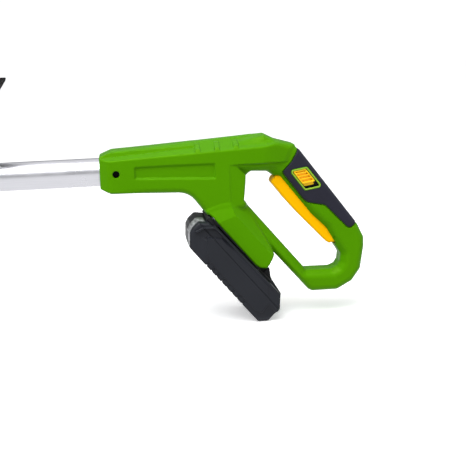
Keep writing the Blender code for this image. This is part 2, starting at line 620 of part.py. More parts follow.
def main():
    clear_scene()
    skins = {
        "green": material("green_plastic", (0.10, 0.33, 0.01), 0.38),
        "rubber": material("grip_rubber", (0.025, 0.025, 0.035), 0.7),
        "black": material("black_plastic", (0.02, 0.02, 0.022), 0.5),
        "battery": material("battery_plastic", (0.025, 0.028, 0.032), 0.45),
        "orange": material("orange_plastic", (1.0, 0.42, 0.005), 0.4),
        "aluminium": material("boom_aluminium", (0.75, 0.76, 0.79), 0.3, 1.0),
        "steel": material("plated_steel", (0.55, 0.55, 0.56), 0.35, 1.0),
        "cell": material("cell_wrap", (0.08, 0.25, 0.3), 0.4),
        "board": material("circuit_board", (0.02, 0.18, 0.07), 0.5),
        "line": material("nylon_line", (0.8, 0.15, 0.05), 0.4),
    }
    tool = frame("trimmer", x=TOOL_X, z=AXIS_HEIGHT)
    grip = frame("grip_frame", tool, *GRIP_AT, GRIP_SLOPE)
    dock = frame("dock_frame", tool, *DOCK_AT, DOCK_SLOPE)
    loop = frame("front_handle_frame", tool, *LOOP_PIVOT, LOOP_LEAN)
    head = frame("head_frame", tool, HEAD_X, HEAD_Z, HEAD_TILT)

    build_housing(tool, grip, dock, skins)
    build_controls(grip, skins)
    build_boom(tool, LEVER_PIVOT, skins)
    build_front_handle(tool, loop, skins)
    build_neck(tool, skins)
    build_head(head, skins)
    build_guard(head, skins)
    build_plant_guard(head, skins)
    build_spool(head, skins)
    build_battery(dock, skins)


main()
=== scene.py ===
"""Looks of the cordless string trimmer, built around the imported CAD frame.

Shapes are written as distance fields in millimetres: a field is below zero inside the piece, and
solid() turns it into a mesh. The tool frame has its origin on the boom's axis at the housing's
mouth, +X towards the rear handle, +Y to the operator's right and +Z up. Slanted assemblies have
frames of their own, turned about Y, where X runs along them and Z out of them.
"""

import math

import bpy
import numpy as np
from numpy import clip, hypot, maximum, minimum
from mathutils import Matrix, Vector


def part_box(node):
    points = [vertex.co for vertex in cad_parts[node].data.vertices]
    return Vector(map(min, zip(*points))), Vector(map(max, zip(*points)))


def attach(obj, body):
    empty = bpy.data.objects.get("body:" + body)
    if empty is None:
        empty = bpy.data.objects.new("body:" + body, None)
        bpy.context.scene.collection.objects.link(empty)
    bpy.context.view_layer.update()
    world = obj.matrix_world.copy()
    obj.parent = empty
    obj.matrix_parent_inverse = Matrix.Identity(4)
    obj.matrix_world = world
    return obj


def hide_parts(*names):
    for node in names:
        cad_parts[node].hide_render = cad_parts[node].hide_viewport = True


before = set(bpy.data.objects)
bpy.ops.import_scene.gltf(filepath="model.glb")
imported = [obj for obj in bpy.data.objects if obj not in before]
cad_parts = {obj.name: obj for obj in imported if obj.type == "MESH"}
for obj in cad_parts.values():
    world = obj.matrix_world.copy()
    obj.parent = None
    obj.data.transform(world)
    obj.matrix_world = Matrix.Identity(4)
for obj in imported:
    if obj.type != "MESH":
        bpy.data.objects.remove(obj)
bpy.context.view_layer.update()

MM = 0.001
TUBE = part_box("upper_tube")
INSERTED = 60 * MM           # how far the boom runs into the housing
ORIGIN = Vector((TUBE[1].x - INSERTED, (TUBE[0].y + TUBE[1].y) / 2, (TUBE[0].z + TUBE[1].z) / 2))
GAP = 0.15                   # half of the gap between two shells
FIT = 0.3                    # clearance of a bore round its tube
PIN_BORE = 2.3
LEAN = 0.52                  # run of the slide and its window along the grip as they rise
TUBE_R = (TUBE[1].z - TUBE[0].z) / 2 / MM
STEP = 0.9   # cell of the housing's nets
INNER_R = (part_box("lower_tube")[1].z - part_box("lower_tube")[0].z) / 2 / MM


# ---- frames

class Frame:
    """A frame at (x, z) of the tool frame with its X axis turned down by slope degrees."""

    def __init__(self, x=0.0, z=0.0, slope=0.0):
        self.x, self.z = x, z
        self.cos, self.sin = math.cos(math.radians(slope)), math.sin(math.radians(slope))

    def local(self, x, z):
        dx, dz = x - self.x, z - self.z
        return dx * self.cos - dz * self.sin, dx * self.sin + dz * self.cos

    def turned(self, vectors):
        x, y, z = vectors.T
        return np.stack([x * self.cos + z * self.sin, y, z * self.cos - x * self.sin], 1)

    def row(self, points):
        """Points of this frame in millimetres as points of the row frame in metres."""
        return (self.turned(points) + (self.x, 0, self.z)) * MM + np.array(ORIGIN)


TOOL = Frame()
GRIP = Frame(199.3, 13.4, 53.4)          # X down the grip's spine
DOCK = Frame(107.3, -46.1, 50.5)         # X down the foot's lower face
LOOP = Frame(-173.5, -24.0, 34.0)        # front handle's hinge
HEAD = Frame(-730.706, -58.134, 35.0)    # centre of the cutting plane
PIVOT_X = -645.0                         # head's tilt pivot on the boom's axis
PIVOT_LOCAL = (36.86, 96.78)             # the same point in the head's frame


# ---- outlines

def arc(centre, radius, start, end, steps):
    """Points on an arc, in degrees, both ends included."""
    turn = [math.radians(start + (end - start) * i / steps) for i in range(steps + 1)]
    return [(centre[0] + radius * math.cos(a), centre[1] + radius * math.sin(a)) for a in turn]


def rounded(points, radius, steps=5):
    """The outline with every corner rounded; a radius may be one number or one for each corner."""
    radii = radius if isinstance(radius, (list, tuple)) else [radius] * len(points)
    made = []
    for i, corner in enumerate(points):
        here = Vector(corner)
        before = (Vector(points[i - 1]) - here).normalized()
        after = (Vector(points[(i + 1) % len(points)]) - here).normalized()
        half = before.angle(after) / 2
        if radii[i] <= 0 or half > math.radians(88):
            made.append(tuple(here))
            continue
        reach = radii[i] / math.tan(half)
        centre = here + (before + after).normalized() * radii[i] / math.sin(half)
        first = here + before * reach - centre
        sweep = first.angle_signed(here + after * reach - centre)
        for k in range(steps + 1):
            a = -sweep * k / steps
            made.append(tuple(centre + Vector((first.x * math.cos(a) - first.y * math.sin(a),
                                               first.x * math.sin(a) + first.y * math.cos(a)))))
    return made


def sheared(run, depth):
    """A slanted four-sided outline, leaning along X as it rises."""
    shift = LEAN * (depth[1] - depth[0])
    return [(run[0], depth[0]), (run[1], depth[0]), (run[1] + shift, depth[1]), (run[0] + shift, depth[1])]


class Outline:
    """Distance to a closed outline with rounded corners, negative inside, read from a fine map of it."""

    CELL = 0.5
    MARGIN = 14.0

    def __init__(self, points, radius):
        corners = np.array(rounded(points, radius), float)
        self.low = corners.min(0) - self.MARGIN
        self.count = np.ceil((corners.max(0) + self.MARGIN - self.low) / self.CELL).astype(int) + 2
        u = (self.low[0] + self.CELL * np.arange(self.count[0]))[:, None]
        v = (self.low[1] + self.CELL * np.arange(self.count[1]))[None, :]
        near = np.full(self.count, 1e9)
        inside = np.zeros(self.count, bool)
        for (au, av), (bu, bv) in zip(corners, np.roll(corners, -1, 0)):
            eu, ev = bu - au, bv - av
            t = clip(((u - au) * eu + (v - av) * ev) / max(eu * eu + ev * ev, 1e-12), 0, 1)
            near = minimum(near, (u - au - eu * t) ** 2 + (v - av - ev * t) ** 2)
            if av != bv:
                inside ^= ((av <= v) != (bv <= v)) & (u < au + (v - av) * eu / ev)
        self.map = (np.where(inside, -1, 1) * np.sqrt(near)).astype(np.float32)

    def __call__(self, u, v):
        fu = clip((u - self.low[0]) / self.CELL, 0, self.count[0] - 1.001)
        fv = clip((v - self.low[1]) / self.CELL, 0, self.count[1] - 1.001)
        i, j = fu.astype(int), fv.astype(int)
        fu, fv = fu - i, fv - j
        m = self.map
        near = m[i, j] * (1 - fu) + m[i + 1, j] * fu
        far = m[i, j + 1] * (1 - fu) + m[i + 1, j + 1] * fu
        return near * (1 - fv) + far * fv


# ---- fields

def meet(a, b, r=0.0):
    """Where both shapes are, with the edge between them rounded to radius r."""
    if r <= 0:
        return maximum(a, b)
    return minimum(maximum(a, b), -r) + hypot(maximum(a + r, 0), maximum(b + r, 0))


def join(a, b, r=0.0):
    """Where either shape is, with the hollow between them filled to radius r."""
    return -meet(-a, -b, r)


def less(a, b, r=0.0):
    """The first shape without the second."""
    return meet(a, -b, r)


def ramp(v, start, end):
    """0 before start, 1 after end, smooth between; start may be the larger."""
    t = clip((v - start) / (end - start), 0, 1)
    return t * t * (3 - 2 * t)


def slab(v, low, high):
    return maximum(low - v, v - high)


def block(x, y, z, x_run, y_run, z_run, r=0.0):
    return meet(meet(slab(x, *x_run), slab(y, *y_run), r), slab(z, *z_run), r)


def disc(a, b, centre, radius):
    return hypot(a - centre[0], b - centre[1]) - radius


def rod(a, b, along, centre, radius, run, r=0.0):
    """A cylinder through centre of the (a, b) plane."""
    return meet(disc(a, b, centre, radius), slab(along, *run), r)


# ---- meshes

CORNERS = np.array([(i, j, k) for i in (0, 1) for j in (0, 1) for k in (0, 1)])
EDGES = [(a, b) for a in range(8) for b in range(a + 1, 8) if abs(CORNERS[a] - CORNERS[b]).sum() == 1]


def net(field, low, high, step):
    """Points and quads on the surface of a field sampled on a grid between two corners."""
    x, y, z = [np.arange(lo, hi + step, step) for lo, hi in zip(low, high)]
    values = field(x[:, None, None], y[None, :, None], z[None, None, :])
    values = np.broadcast_to(values, (len(x), len(y), len(z)))
    inside = values < 0
    size = np.array(inside.shape) - 1
    count = sum(inside[i:size[0] + i, j:size[1] + j, k:size[2] + k].astype(np.int8) for i, j, k in CORNERS)
    cells = np.argwhere((count > 0) & (count < 8))
    index = np.full(size, -1)
    index[tuple(cells.T)] = np.arange(len(cells))
    at = np.stack([values[tuple((cells + c).T)] for c in CORNERS], 1).astype(float)
    total, hits = np.zeros((len(cells), 3)), np.zeros(len(cells))
    for a, b in EDGES:
        crossed = (at[:, a] < 0) != (at[:, b] < 0)
        t = np.where(crossed, at[:, a] / np.where(crossed, at[:, a] - at[:, b], 1), 0)
        total += np.where(crossed[:, None], CORNERS[a] + t[:, None] * (CORNERS[b] - CORNERS[a]), 0)
        hits += crossed
    points = np.array([x[0], y[0], z[0]]) + step * (cells + total / hits[:, None])
    quads = []
    for axis in range(3):
        run = [slice(1, size[n] if n != axis else size[n] + 1) for n in range(3)]
        back = list(run)
        back[axis] = slice(0, size[axis])
        run[axis] = slice(1, size[axis] + 1)
        first, second = inside[tuple(back)], inside[tuple(run)]
        edge = np.argwhere(first != second)
        start = edge + 1
        start[:, axis] -= 1
        b, c = (axis + 1) % 3, (axis + 2) % 3
        ring = []
        for db, dc in ((1, 1), (0, 1), (0, 0), (1, 0)):
            cell = start.copy()
            cell[:, b] -= db
            cell[:, c] -= dc
            ring.append(index[tuple(cell.T)])
        ring = np.stack(ring, 1)
        outward = first[tuple(edge.T)]
        quads.append(np.where(outward[:, None], ring, ring[:, ::-1]))
    return points, np.concatenate(quads)


def slope_of(field, points, here=None, reach=0.05):
    x, y, z = points.T
    if here is None:
        here = field(x, y, z)
    return np.stack([field(x + reach, y, z) - here, field(x, y + reach, z) - here,
                     field(x, y, z + reach) - here], 1) / reach


def settled(field, points, most, rounds=2):
    """Points moved onto the field's surface, each by no more than a distance."""
    start = points
    for _ in range(rounds):
        here = field(*points.T)
        slope = slope_of(field, points, here)
        move = -here[:, None] * slope / maximum((slope ** 2).sum(1), 0.2)[:, None]
        points = points + clip(move, -most, most)
    away = points - start
    far = np.linalg.norm(away, axis=1)
    return start + away * minimum(1, most / maximum(far, 1e-9))[:, None]


def thinned(mesh, keep):
    """The mesh with only a share of its faces, kept where it curves."""
    helper = bpy.data.objects.new("helper", mesh)
    bpy.context.scene.collection.objects.link(helper)
    step = helper.modifiers.new("thin", "DECIMATE")
    step.ratio = keep
    step.use_collapse_triangulate = True
    bpy.context.view_layer.update()
    made = bpy.data.meshes.new_from_object(helper.evaluated_get(bpy.context.evaluated_depsgraph_get()))
    bpy.data.objects.remove(helper)
    return made


def read(items, name, width=1, kind=float):
    """One attribute of every item as an array."""
    values = np.empty(len(items) * width, kind)
    items.foreach_get(name, values)
    return values.reshape(-1, width) if width > 1 else values


def piece(name, mesh, body, finish, stands_for=()):
    """A finished mesh of the row frame as a piece that rides on a CAD body."""
    material, slot = finish
    mesh.name = name
    mesh.materials.clear()
    mesh.materials.append(material)
    obj = bpy.data.objects.new(name, mesh)
    bpy.context.scene.collection.objects.link(obj)
    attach(obj, body)
    if stands_for:
        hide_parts(*stands_for)


def solid(name, body, finish, field, low, high, step, *stands_for, place=TOOL, keep=0.45):
    """A piece whose surface is the field's zero, in the frame of its place."""
    pad = 2 * step
    points, quads = net(field, np.array(low) - pad, np.array(high) + pad, step)
    mesh = bpy.data.meshes.new(name)
    mesh.from_pydata(settled(field, points, 0.6 * step).tolist(), [], quads.tolist())
    if keep < 1:
        mesh = thinned(mesh, keep)
        mesh.vertices.foreach_set("co", settled(field, read(mesh.vertices, "co", 3), 0.4 * step, 1).ravel())
    mesh.shade_smooth()
    points = read(mesh.vertices, "co", 3)
    middle = np.repeat(read(mesh.polygons, "center", 3), read(mesh.polygons, "loop_total", kind=int), 0)
    at = points[read(mesh.loops, "vertex_index", kind=int)]
    way = middle - at
    far = np.linalg.norm(way, axis=1)[:, None]
    at = at + way * minimum(0.3, 0.25 / maximum(far, 1e-9))
    normals = slope_of(field, at)
    normals /= maximum(np.linalg.norm(normals, axis=1), 1e-9)[:, None]
    mesh.vertices.foreach_set("co", place.row(points).ravel())
    mesh.update()
    mesh.normals_split_custom_set(place.turned(normals).tolist())
    piece(name, mesh, body, finish, stands_for)


# ---- materials

def linear(red, green, blue):
    """A colour given in display steps of 0 to 255, as the shader takes it."""
    shares = [v / 255 for v in (red, green, blue)]
    return tuple(((s + 0.055) / 1.055) ** 2.4 if s > 0.04 else s / 12.92 for s in shares)


class Shader:
    """A Principled material with clouded colour, varying roughness and a fine moulded grain."""

    def __init__(self, name, colour, roughness, metallic=0.0, gloss=0.5):
        self.material = bpy.data.materials.new(name)
        self.material.use_nodes = True
        self.tree = self.material.node_tree
        self.surface = self.tree.nodes["Principled BSDF"]
        self.surface.inputs["Metallic"].default_value = metallic
        self.surface.inputs["Specular IOR Level"].default_value = gloss
        self.colour, self.roughness = colour, roughness
        self.where = self.add("ShaderNodeTexCoord").outputs["Object"]

    def add(self, kind, **inputs):
        node = self.tree.nodes.new(kind)
        for key, value in inputs.items():
            socket = node.inputs[key.replace("_", " ")]
            if isinstance(value, bpy.types.NodeSocket):
                self.tree.links.new(value, socket)
            else:
                socket.default_value = value
        return node

    def noise(self, scale, detail=3.0, stretch=None):
        where = self.where
        if stretch:
            where = self.add("ShaderNodeMapping", Vector=where, Scale=stretch).outputs[0]
        return self.add("ShaderNodeTexNoise", Vector=where, Scale=scale, Detail=detail).outputs["Fac"]

    def mapped(self, value, low, high, start=0.3, end=0.7):
        node = self.add("ShaderNodeMapRange", Value=value, To_Min=low, To_Max=high,
                        From_Min=start, From_Max=end)
        return node.outputs[0]

    def mixed(self, share, first, second):
        node = self.tree.nodes.new("ShaderNodeMix")
        node.data_type = "RGBA"
        for place, value in ((0, share), (6, first), (7, second)):
            if isinstance(value, bpy.types.NodeSocket):
                self.tree.links.new(value, node.inputs[place])
            else:
                node.inputs[place].default_value = (*value, 1) if place else value
        return node.outputs[2]

    def cloud(self, scale, spread):
        """The base colour, a little lighter and darker from place to place."""
        dark = tuple(c * (1 - spread) for c in self.colour)
        light = tuple(min(1, c * (1 + spread)) for c in self.colour)
        share = self.mapped(self.noise(scale), 0, 1)
        return self.mixed(share, dark, light)

    def done(self, colour, scale, spread, bump, strength, depth):
        links = self.tree.links
        links.new(colour, self.surface.inputs["Base Color"])
        low, high = max(0.05, self.roughness - spread), self.roughness + spread
        links.new(self.mapped(self.noise(scale), low, high), self.surface.inputs["Roughness"])
        node = self.add("ShaderNodeBump", Height=bump, Strength=strength, Distance=depth * MM)
        links.new(node.outputs[0], self.surface.inputs["Normal"])
        return self.material


def set_sockets(material, **values):
    """The material with constants set on its surface shader's own sockets."""
    surface = material.node_tree.nodes["Principled BSDF"]
    for name, value in values.items():
        surface.inputs[name.replace("_", " ")].default_value = value
    return material


GRAIN = 2600                 # cells of spark-eroded grain for each metre


def moulded(name, colour, roughness, spread, gloss, strength=0.25, depth=0.02, tint=(1, 1, 1)):
    """Injection-moulded plastic with a spark-eroded grain and faint handling marks."""
    shader = Shader(name, colour, roughness, gloss=gloss)
    shader.surface.inputs["Specular Tint"].default_value = (*tint, 1)
    marks = shader.mapped(shader.noise(240, 5, (1, 1, 4)), 0, 0.35, 0.62, 0.85)
    rubbed = tuple(c * 1.25 for c in colour)
    shade = shader.mixed(marks, colour, rubbed)
    mottled = shader.mixed(0.25, shader.cloud(22, spread), shade)
    return shader.done(mottled, 90, 0.04, shader.noise(GRAIN, 2), strength, depth)


def soft_rubber(name, colour, roughness):
    """Matt overmoulded rubber: a coarser pebbled grain and a dusty sheen."""
    shader = Shader(name, colour, roughness)
    set_sockets(shader.material, Sheen_Weight=0.05, Sheen_Roughness=0.4, Specular_IOR_Level=0.3)
    pebbles = shader.add("ShaderNodeTexVoronoi", Vector=shader.where, Scale=1100.0).outputs["Distance"]
    return shader.done(shader.cloud(35, 0.14), 130, 0.06, pebbles, 0.5, 0.05)


def drawn_metal(name, colour, roughness, stretch, spread, strength, scale=900):
    """Metal with drawing or turning lines that run along the axis whose stretch is small."""
    shader = Shader(name, colour, roughness, 1.0)
    lines = shader.noise(scale, 4, stretch)
    share = shader.mapped(lines, 0, 1)
    shade = shader.mixed(share, tuple(c * (1 - spread) for c in colour), colour)
    return shader.done(shade, 45, 0.05, lines, strength, 0.01)


def banded(name, colour, second, size, roughness):
    """A printed or wound surface: two colours in fine bands along the width."""
    shader = Shader(name, colour, roughness)
    wave = shader.tree.nodes.new("ShaderNodeTexWave")
    wave.bands_direction = "Y"
    wave.inputs["Scale"].default_value = size
    wave.inputs["Distortion"].default_value = 0.6
    shader.tree.links.new(shader.where, wave.inputs["Vector"])
    shade = shader.mixed(wave.outputs["Fac"], colour, second)
    return shader.done(shade, 80, 0.06, wave.outputs["Fac"], 0.3, 0.1)


GREEN = (moulded("green_moulding", linear(77, 145, 0), 0.38, 0.03, 0.22, tint=(0.7, 1, 0.1)),
         "green_plastic")
RUBBER = (soft_rubber("navy_rubber", linear(30, 30, 45), 0.62), "grip_rubber")
BLACK = (moulded("black_moulding", linear(24, 25, 28), 0.45, 0.1, 0.3, 0.4, 0.03), "black_plastic")
PACK = (moulded("pack_moulding", linear(38, 40, 46), 0.4, 0.08, 0.2, 0.35, 0.03), "battery_plastic")
AMBER_GLOW = (moulded("amber_glow_moulding", linear(255, 186, 0), 0.45, 0.03, 0.2, tint=(1, 0.8, 0.1)),
         "orange_plastic")
# The amber pieces glow faintly orange though they are no lamp: painted light that brightens them.
set_sockets(AMBER_GLOW[0], Emission_Color=(1, 0.47, 0, 1), Emission_Strength=0.11)
YELLOW_GLOW = (moulded("yellow_glow_moulding", linear(255, 200, 0), 0.4, 0.03, 0.3), "orange_plastic")
# The yellow slider glows faintly orange though it is no lamp: painted light that brightens it.
set_sockets(YELLOW_GLOW[0], Emission_Color=(1, 0.5, 0, 1), Emission_Strength=0.05)
# Pale lime for the ring in the window's rim: painted highlight where the green rim's edge catches light.
RIM_HIGHLIGHT = (moulded("rim_highlight_moulding", linear(150, 190, 45), 0.35, 0.03, 0.4), "green_plastic")
SLEEVE = (soft_rubber("black_rubber", linear(12, 13, 16), 0.8), "grip_rubber")
set_sockets(SLEEVE[0], Specular_IOR_Level=0.1, Sheen_Weight=0.0)
ALUMINIUM = (drawn_metal("anodised_tube", (0.87, 0.872, 0.925), 0.3, (0.02, 1, 1), 0.06, 0.12),
             "boom_aluminium")
# Near-black steel for the tube bolt: painted shade, so its end in the bore looks as dark as a shaded hole.
SHADE_DARK_STEEL = (drawn_metal("shade_dark_steel", (0.012, 0.012, 0.013), 0.6, (1, 1, 1), 0.2, 0.25, 500),
              "plated_steel")
STEEL = (drawn_metal("bright_steel", (0.6, 0.6, 0.61), 0.3, (1, 1, 1), 0.2, 0.25, 500), "plated_steel")
FOIL = (drawn_metal("silver_foil", (0.56, 0.57, 0.6), 0.4, (1, 0.25, 1), 0.75, 0.4, 420), "plated_steel")
set_sockets(FOIL[0], Metallic=0.25)
WRAP = (banded("cell_sleeve", linear(52, 120, 150), linear(40, 95, 130), 160, 0.35), "cell_wrap")
BOARD = (banded("solder_mask", linear(18, 96, 44), linear(26, 118, 60), 220, 0.45), "circuit_board")
LINE = (banded("wound_nylon", linear(226, 88, 40), linear(150, 40, 20), 240, 0.35), "nylon_line")

KEPT = {
    BLACK: "trigger_switch battery_dock terminal_block coiled_lead",
    STEEL: "trigger_pin trigger_spring lock_spring cam_pin aux_bolt tilt_spring tilt_pin head_screw "
           "motor_can motor_rotor guard_screw_1 guard_screw_2 line_cutter eyelet_1 eyelet_2 spool_spring "
           "latch_spring shell_screw_1 shell_screw_2 shell_screw_3",
    SHADE_DARK_STEEL: "tube_bolt", AMBER_GLOW: "line_bobbin", LINE: "wound_line", BOARD: "battery_board",
    WRAP: "battery_cell_1 battery_cell_2 battery_cell_3 battery_cell_4 battery_cell_5",
}


def finish_kept_nodes():
    """The CAD pieces that keep their shape, with their materials."""
    for (material, slot), nodes in KEPT.items():
        for node in nodes.split():
            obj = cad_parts[node]
            obj.data.materials.clear()
            obj.data.materials.append(material)


# ---- housing

BARREL_HALF = 24.0
GRIP_HALF = 16.5
BARREL = Outline(
    [(1.0, 16.0), (13.2, 21.5), (44.9, 23.4), (74, 25.4), (142.9, 30.0), (150.7, 30.7), (163.5, 30.7),
     (175.5, 23.9), (194.3, 18.9), (184, -5), (168, -20), (141, -42), (104, -46), (86.8, -22.6),
     (11, -19.6), (0.8, -14.8)],
    [1.5, 3, 9, 9, 9, 3, 3, 6, 0, 0, 0, 0, 0, 20, 2, 1.5])
HANDLE = Outline(
    [(120, 20), (164, 30.4), (176, 24.3), (194, 18.3), (199.3, 13.4), (257.2, -65.3), (263.2, -78.5),
     (263.2, -87.5), (259.2, -111), (250, -123.5), (234.5, -131.6), (208.6, -131.6), (204.6, -129.4),
     (163, -80.4), (120, -30)],
    [0, 2, 5, 3, 2, 8, 4, 4, 9, 8, 8, 2, 3, 0, 0])
HAND_HOLE = Outline(
    [(144, -9.9), (149.3, -5), (166.5, -5.9), (174.7, -12), (178.5, -13.8), (209.4, -54), (223.9, -68.5),
     (230.5, -80.5), (239.3, -95), (238.2, -102.8), (235.2, -107.4), (229.2, -109.9),
     (203.2, -109.4), (141.2, -34)],
    [5, 5, 5, 2, 2, 2, 4, 4, 4, 4, 2, 4, 2, 5])
FOOT = Outline(
    [(100.6, -41), (107.3, -46.1), (149.7, -98.1), (154.2, -101.0), (160.6, -101.9), (164.4, -98.0),
     (169.2, -88.6), (166, -80), (141, -34), (119, -34.5), (110, -37)],
    [2, 2, 5, 3, 3, 2, 0.5, 0, 0, 3, 3])
PANEL = Outline([(34.2, 5.9), (71.4, 6.3), (114.4, 5.8), (114, -10.3), (34, -6.6)], [2.4, 0, 2.4, 2.4, 2.4])
HOLE_BEVEL = Outline([(133.5, 3.2), (160, 3.2), (171, 5.2), (205, 5.6), (205, -34), (150, -34), (144, -9)],
                             [2, 8, 8, 0, 0, 0, 0])
PAD = Outline(
    [(-4, 4), (3.4, -13.6), (5.5, -26.4), (7.5, -27.6), (41, -27.8), (46, -26.6), (59.5, -14.4),
     (65.9, -13.6), (91.4, -10.7), (94.6, -8.5), (95, 4)],
    [0, 4, 1.5, 1, 4, 3, 5, 5, 3, 2, 0])
WINDOW = Outline(sheared((9.6, 34.6), (-20.6, -5.2)), 2.2)
SLIDE_FOOT = Outline(sheared((14.0, 31.6), (-18.9, -9.4)), 1.0)
SLIDE = Outline(sheared((12.0, 28.2), (-18.9, -7.0)), 1.0)
BOLT_AT = (16.8, -0.7)
TRIGGER_PIN = (93.5, -25)    # in the grip's frame
BOLT_BORE = 3.4
SCREW_BOSS, SCREW_SHANK, SCREW_HEAD = 4.2, 1.8, 3.7
TRIGGER_BAY = 11.0           # half width of the trigger's pocket
TRIGGER_HALF = 10.7
DOCK_BAY = 27.7              # half width of the battery dock's bay
FOOT_WALL = 1.6
SCREWS = [(150, 12), (252, -100), (128, -22)]
SLOPE_RISE = 0.57            # rise of the upper facet for each millimetre inwards
RIBS = [(94.6, 99.7), (113.9, 119.0), (132.6, 137.8)]
WALL = 3.0
PAD_DEPTH = 1.6


def shoulder(x):
    """Height of the line where the barrel's side turns into its upper facet."""
    return 12.2 + 0.0453 * (x - 9.2)


def upper_facet(x, y, z):
    """The sloping facet with the raised crown in front and three ribs behind."""
    flat = (z - shoulder(x) - SLOPE_RISE * (BARREL_HALF - y)) / math.hypot(1, SLOPE_RISE)
    crown_edge = 17.8 - 0.037 * x
    step = 0.9 + 1.6 * ramp(x, 95, 8)
    raised = step * ramp(x, 99, 90) * clip((crown_edge + 0.5 - y) / 1.7, 0, 1)
    raised = raised - 0.9 * clip(1 - abs(y - crown_edge) / 1.1, 0, 1) * ramp(x, 96, 92)
    for start, end in RIBS:
        middle, half = (start + end) / 2, (end - start) / 2
        across = clip(half + 0.3 - abs(x - middle), 0, 0.9) / 0.9
        along = clip(7.4 - abs(y - 16.0), 0, 2.2) / 2.2
        raised = raised + (0.8 + 0.08 * clip(y - 9, 0, 15)) * across * along
    return flat - raised


def barrel(x, y, z):
    waist = 0.16 * clip(x - 127.2, 0, 20) + 0.25 * clip(x - 127.2, 0, 1)
    half = BARREL_HALF - waist * ramp(z, 3.6, 1.6) - 7.3 * ramp(x, 160, 197)
    line, side = BARREL(x, z), y - half
    crisp = ramp(x, 60, 12)
    body = meet(line, side, 6.0) * (1 - crisp) + meet(line, side, 2.5) * crisp
    body = meet(body, upper_facet(x, y, z), 1.3)
    nose = -0.542 * (x - 9.3) + 0.84 * (y - BARREL_HALF)
    body = meet(body, nose, 1.2)
    recess = PANEL(x, z) + 1.0 * (BARREL_HALF - y)
    body = meet(body, -meet(recess, BARREL_HALF - 2.1 - y) / 1.3, 0.4)
    depth = BARREL_HALF - 0.95 * maximum(3.2 + 2.4 * ramp(x, 158, 176) - z, -1)
    bevel = minimum((y - depth) / 1.38, -HOLE_BEVEL(x, z))
    body = meet(body, bevel, 0.8)
    return meet(body, -HAND_HOLE(x, z), 2.2)


def handle(x, y, z):
    hole = -HAND_HOLE(x, z)
    side = y - GRIP_HALF
    rim = meet(meet(HANDLE(x, z), side, 6.5), hole, 2.5)
    return meet(rim, (hole + side + 6.5) * math.sqrt(0.5), 2.0)


def foot_half(x, z):
    """Half width of the foot: widest at its lower face, and flaring out below the barrel."""
    _, out = DOCK.local(x, z)
    below = -35.9 - 0.0045 * (137 - x) ** 2 - z
    half = minimum(30 - 0.085 * maximum(out, 0), 28.6 - 1.1 * (out - 18))
    return minimum(half, 24.5 + 0.36 * below)


def foot(x, y, z):
    half = foot_half(x, z)
    return meet(meet(FOOT(x, z), (y - half) / 1.1, 2.2), -HAND_HOLE(x, z), 2.2)


def housing_skin(x, y, z):
    """The housing's outside, pads included, for y measured from the parting plane."""
    body = join(barrel(x, y, z), handle(x, y, z), 2.5)
    return join(body, foot(x, y, z), 2.0)


def shell_field(side):
    def field(x, y, z):
        out = y * side
        wide = abs(y)
        along, over = GRIP.local(x, z)
        d_along, d_over = DOCK.local(x, z)
        skin = housing_skin(x, wide, z)
        pad = PAD(along, over)
        body = meet(skin, -meet(pad - 0.55, -(skin + PAD_DEPTH + 0.25)), 0.5)
        window = WINDOW(along, over)
        rim = meet(meet(window - 0.8, -(window + 1.2)), meet(skin - 0.75, 12 - wide), 0.6)
        body = minimum(body, rim)

        room = meet(body + WALL, out - 40)
        for screw in SCREWS:
            room = less(room, disc(x, z, screw, SCREW_BOSS))
        body = less(body, room)

        # bores, pockets and slots
        body = less(body, meet(hypot(y, z) - TUBE_R - FIT, x - INSERTED / MM - FIT), 0.4)
        body = less(body, disc(x, z, BOLT_AT, BOLT_BORE), 0.8)
        body = less(body, block(along, wide, over, (5.5, 99.3), (-1, TRIGGER_BAY), (-50, -19.5)), 0.5)
        body = less(body, block(along, wide, over, (8, 84), (-1, TRIGGER_BAY), (-27, -6)))
        body = less(body, meet(window + 1.2, 10 - wide), 0.3)
        body = less(body, block(along, wide, over, (28, 43), (9, 14.9), (-19.4, -7)))
        body = less(body, rod(along, over, wide, TRIGGER_PIN, PIN_BORE, (-1, 13.0)))
        bay = minimum(block(d_along, wide, d_over, (1.5, 95), (-1, 40), (-9, 8)),
                         block(d_along, wide, d_over, (11.5, 95), (-1, 40), (-9, 14)))
        bay = meet(bay, wide - minimum(DOCK_BAY, foot_half(x, z) - FOOT_WALL))
        body = less(body, bay, 0.4)
        for x0, z0 in SCREWS:
            hole = hypot(x - x0, z - z0)
            body = less(body, meet(hole - SCREW_SHANK, wide - (8 if side < 0 else 40)))
            if side > 0:
                body = less(body, meet(hole - SCREW_HEAD, 8 - out), 0.3)
        return meet(body, GAP - out, 0.25)
    return field


def pad_field(side):
    def field(x, y, z):
        out, wide = y * side, abs(y)
        along, over = GRIP.local(x, z)
        skin = housing_skin(x, wide, z)
        shape = meet(meet(skin - 0.35, PAD(along, over) + 0.35, 1.2), -(skin + PAD_DEPTH))
        shape = less(shape, meet(WINDOW(along, over) - 0.7, 8 - wide), 0.4)
        return meet(shape, GAP - out, 0.3)
    return field


def trigger_field(x, y, z):
    line = TRIGGER(x, z)
    shape = meet(line, abs(y) - TRIGGER_HALF, 2.4)
    return less(shape, disc(x, z, TRIGGER_PIN, PIN_BORE))


TRIGGER = Outline(
    [(5.6, -34), (5.6, -38.5), (7.6, -42.2), (31, -41.9), (51, -40.6), (91, -36.2), (94.6, -35.0),
     (96.6, -31), (98, -28), (98, -25), (93, -20.6), (86, -26), (8, -26)],
    [2, 1.5, 2, 9, 9, 4, 2, 2, 2, 3, 2, 2, 2])


def rim_highlight_field(x, y, z):
    """A pale lime ring set in the window's raised rim, on both sides: painted highlight on the green rim's
    edge.
    """
    wide = abs(y)
    along, over = GRIP.local(x, z)
    skin, window = housing_skin(x, wide, z), WINDOW(along, over)
    ring = meet(window - 0.3, -(window + 1.1))
    return meet(meet(ring, skin - 1.0, 0.4), maximum(12 - wide, -(skin + 1.0)))


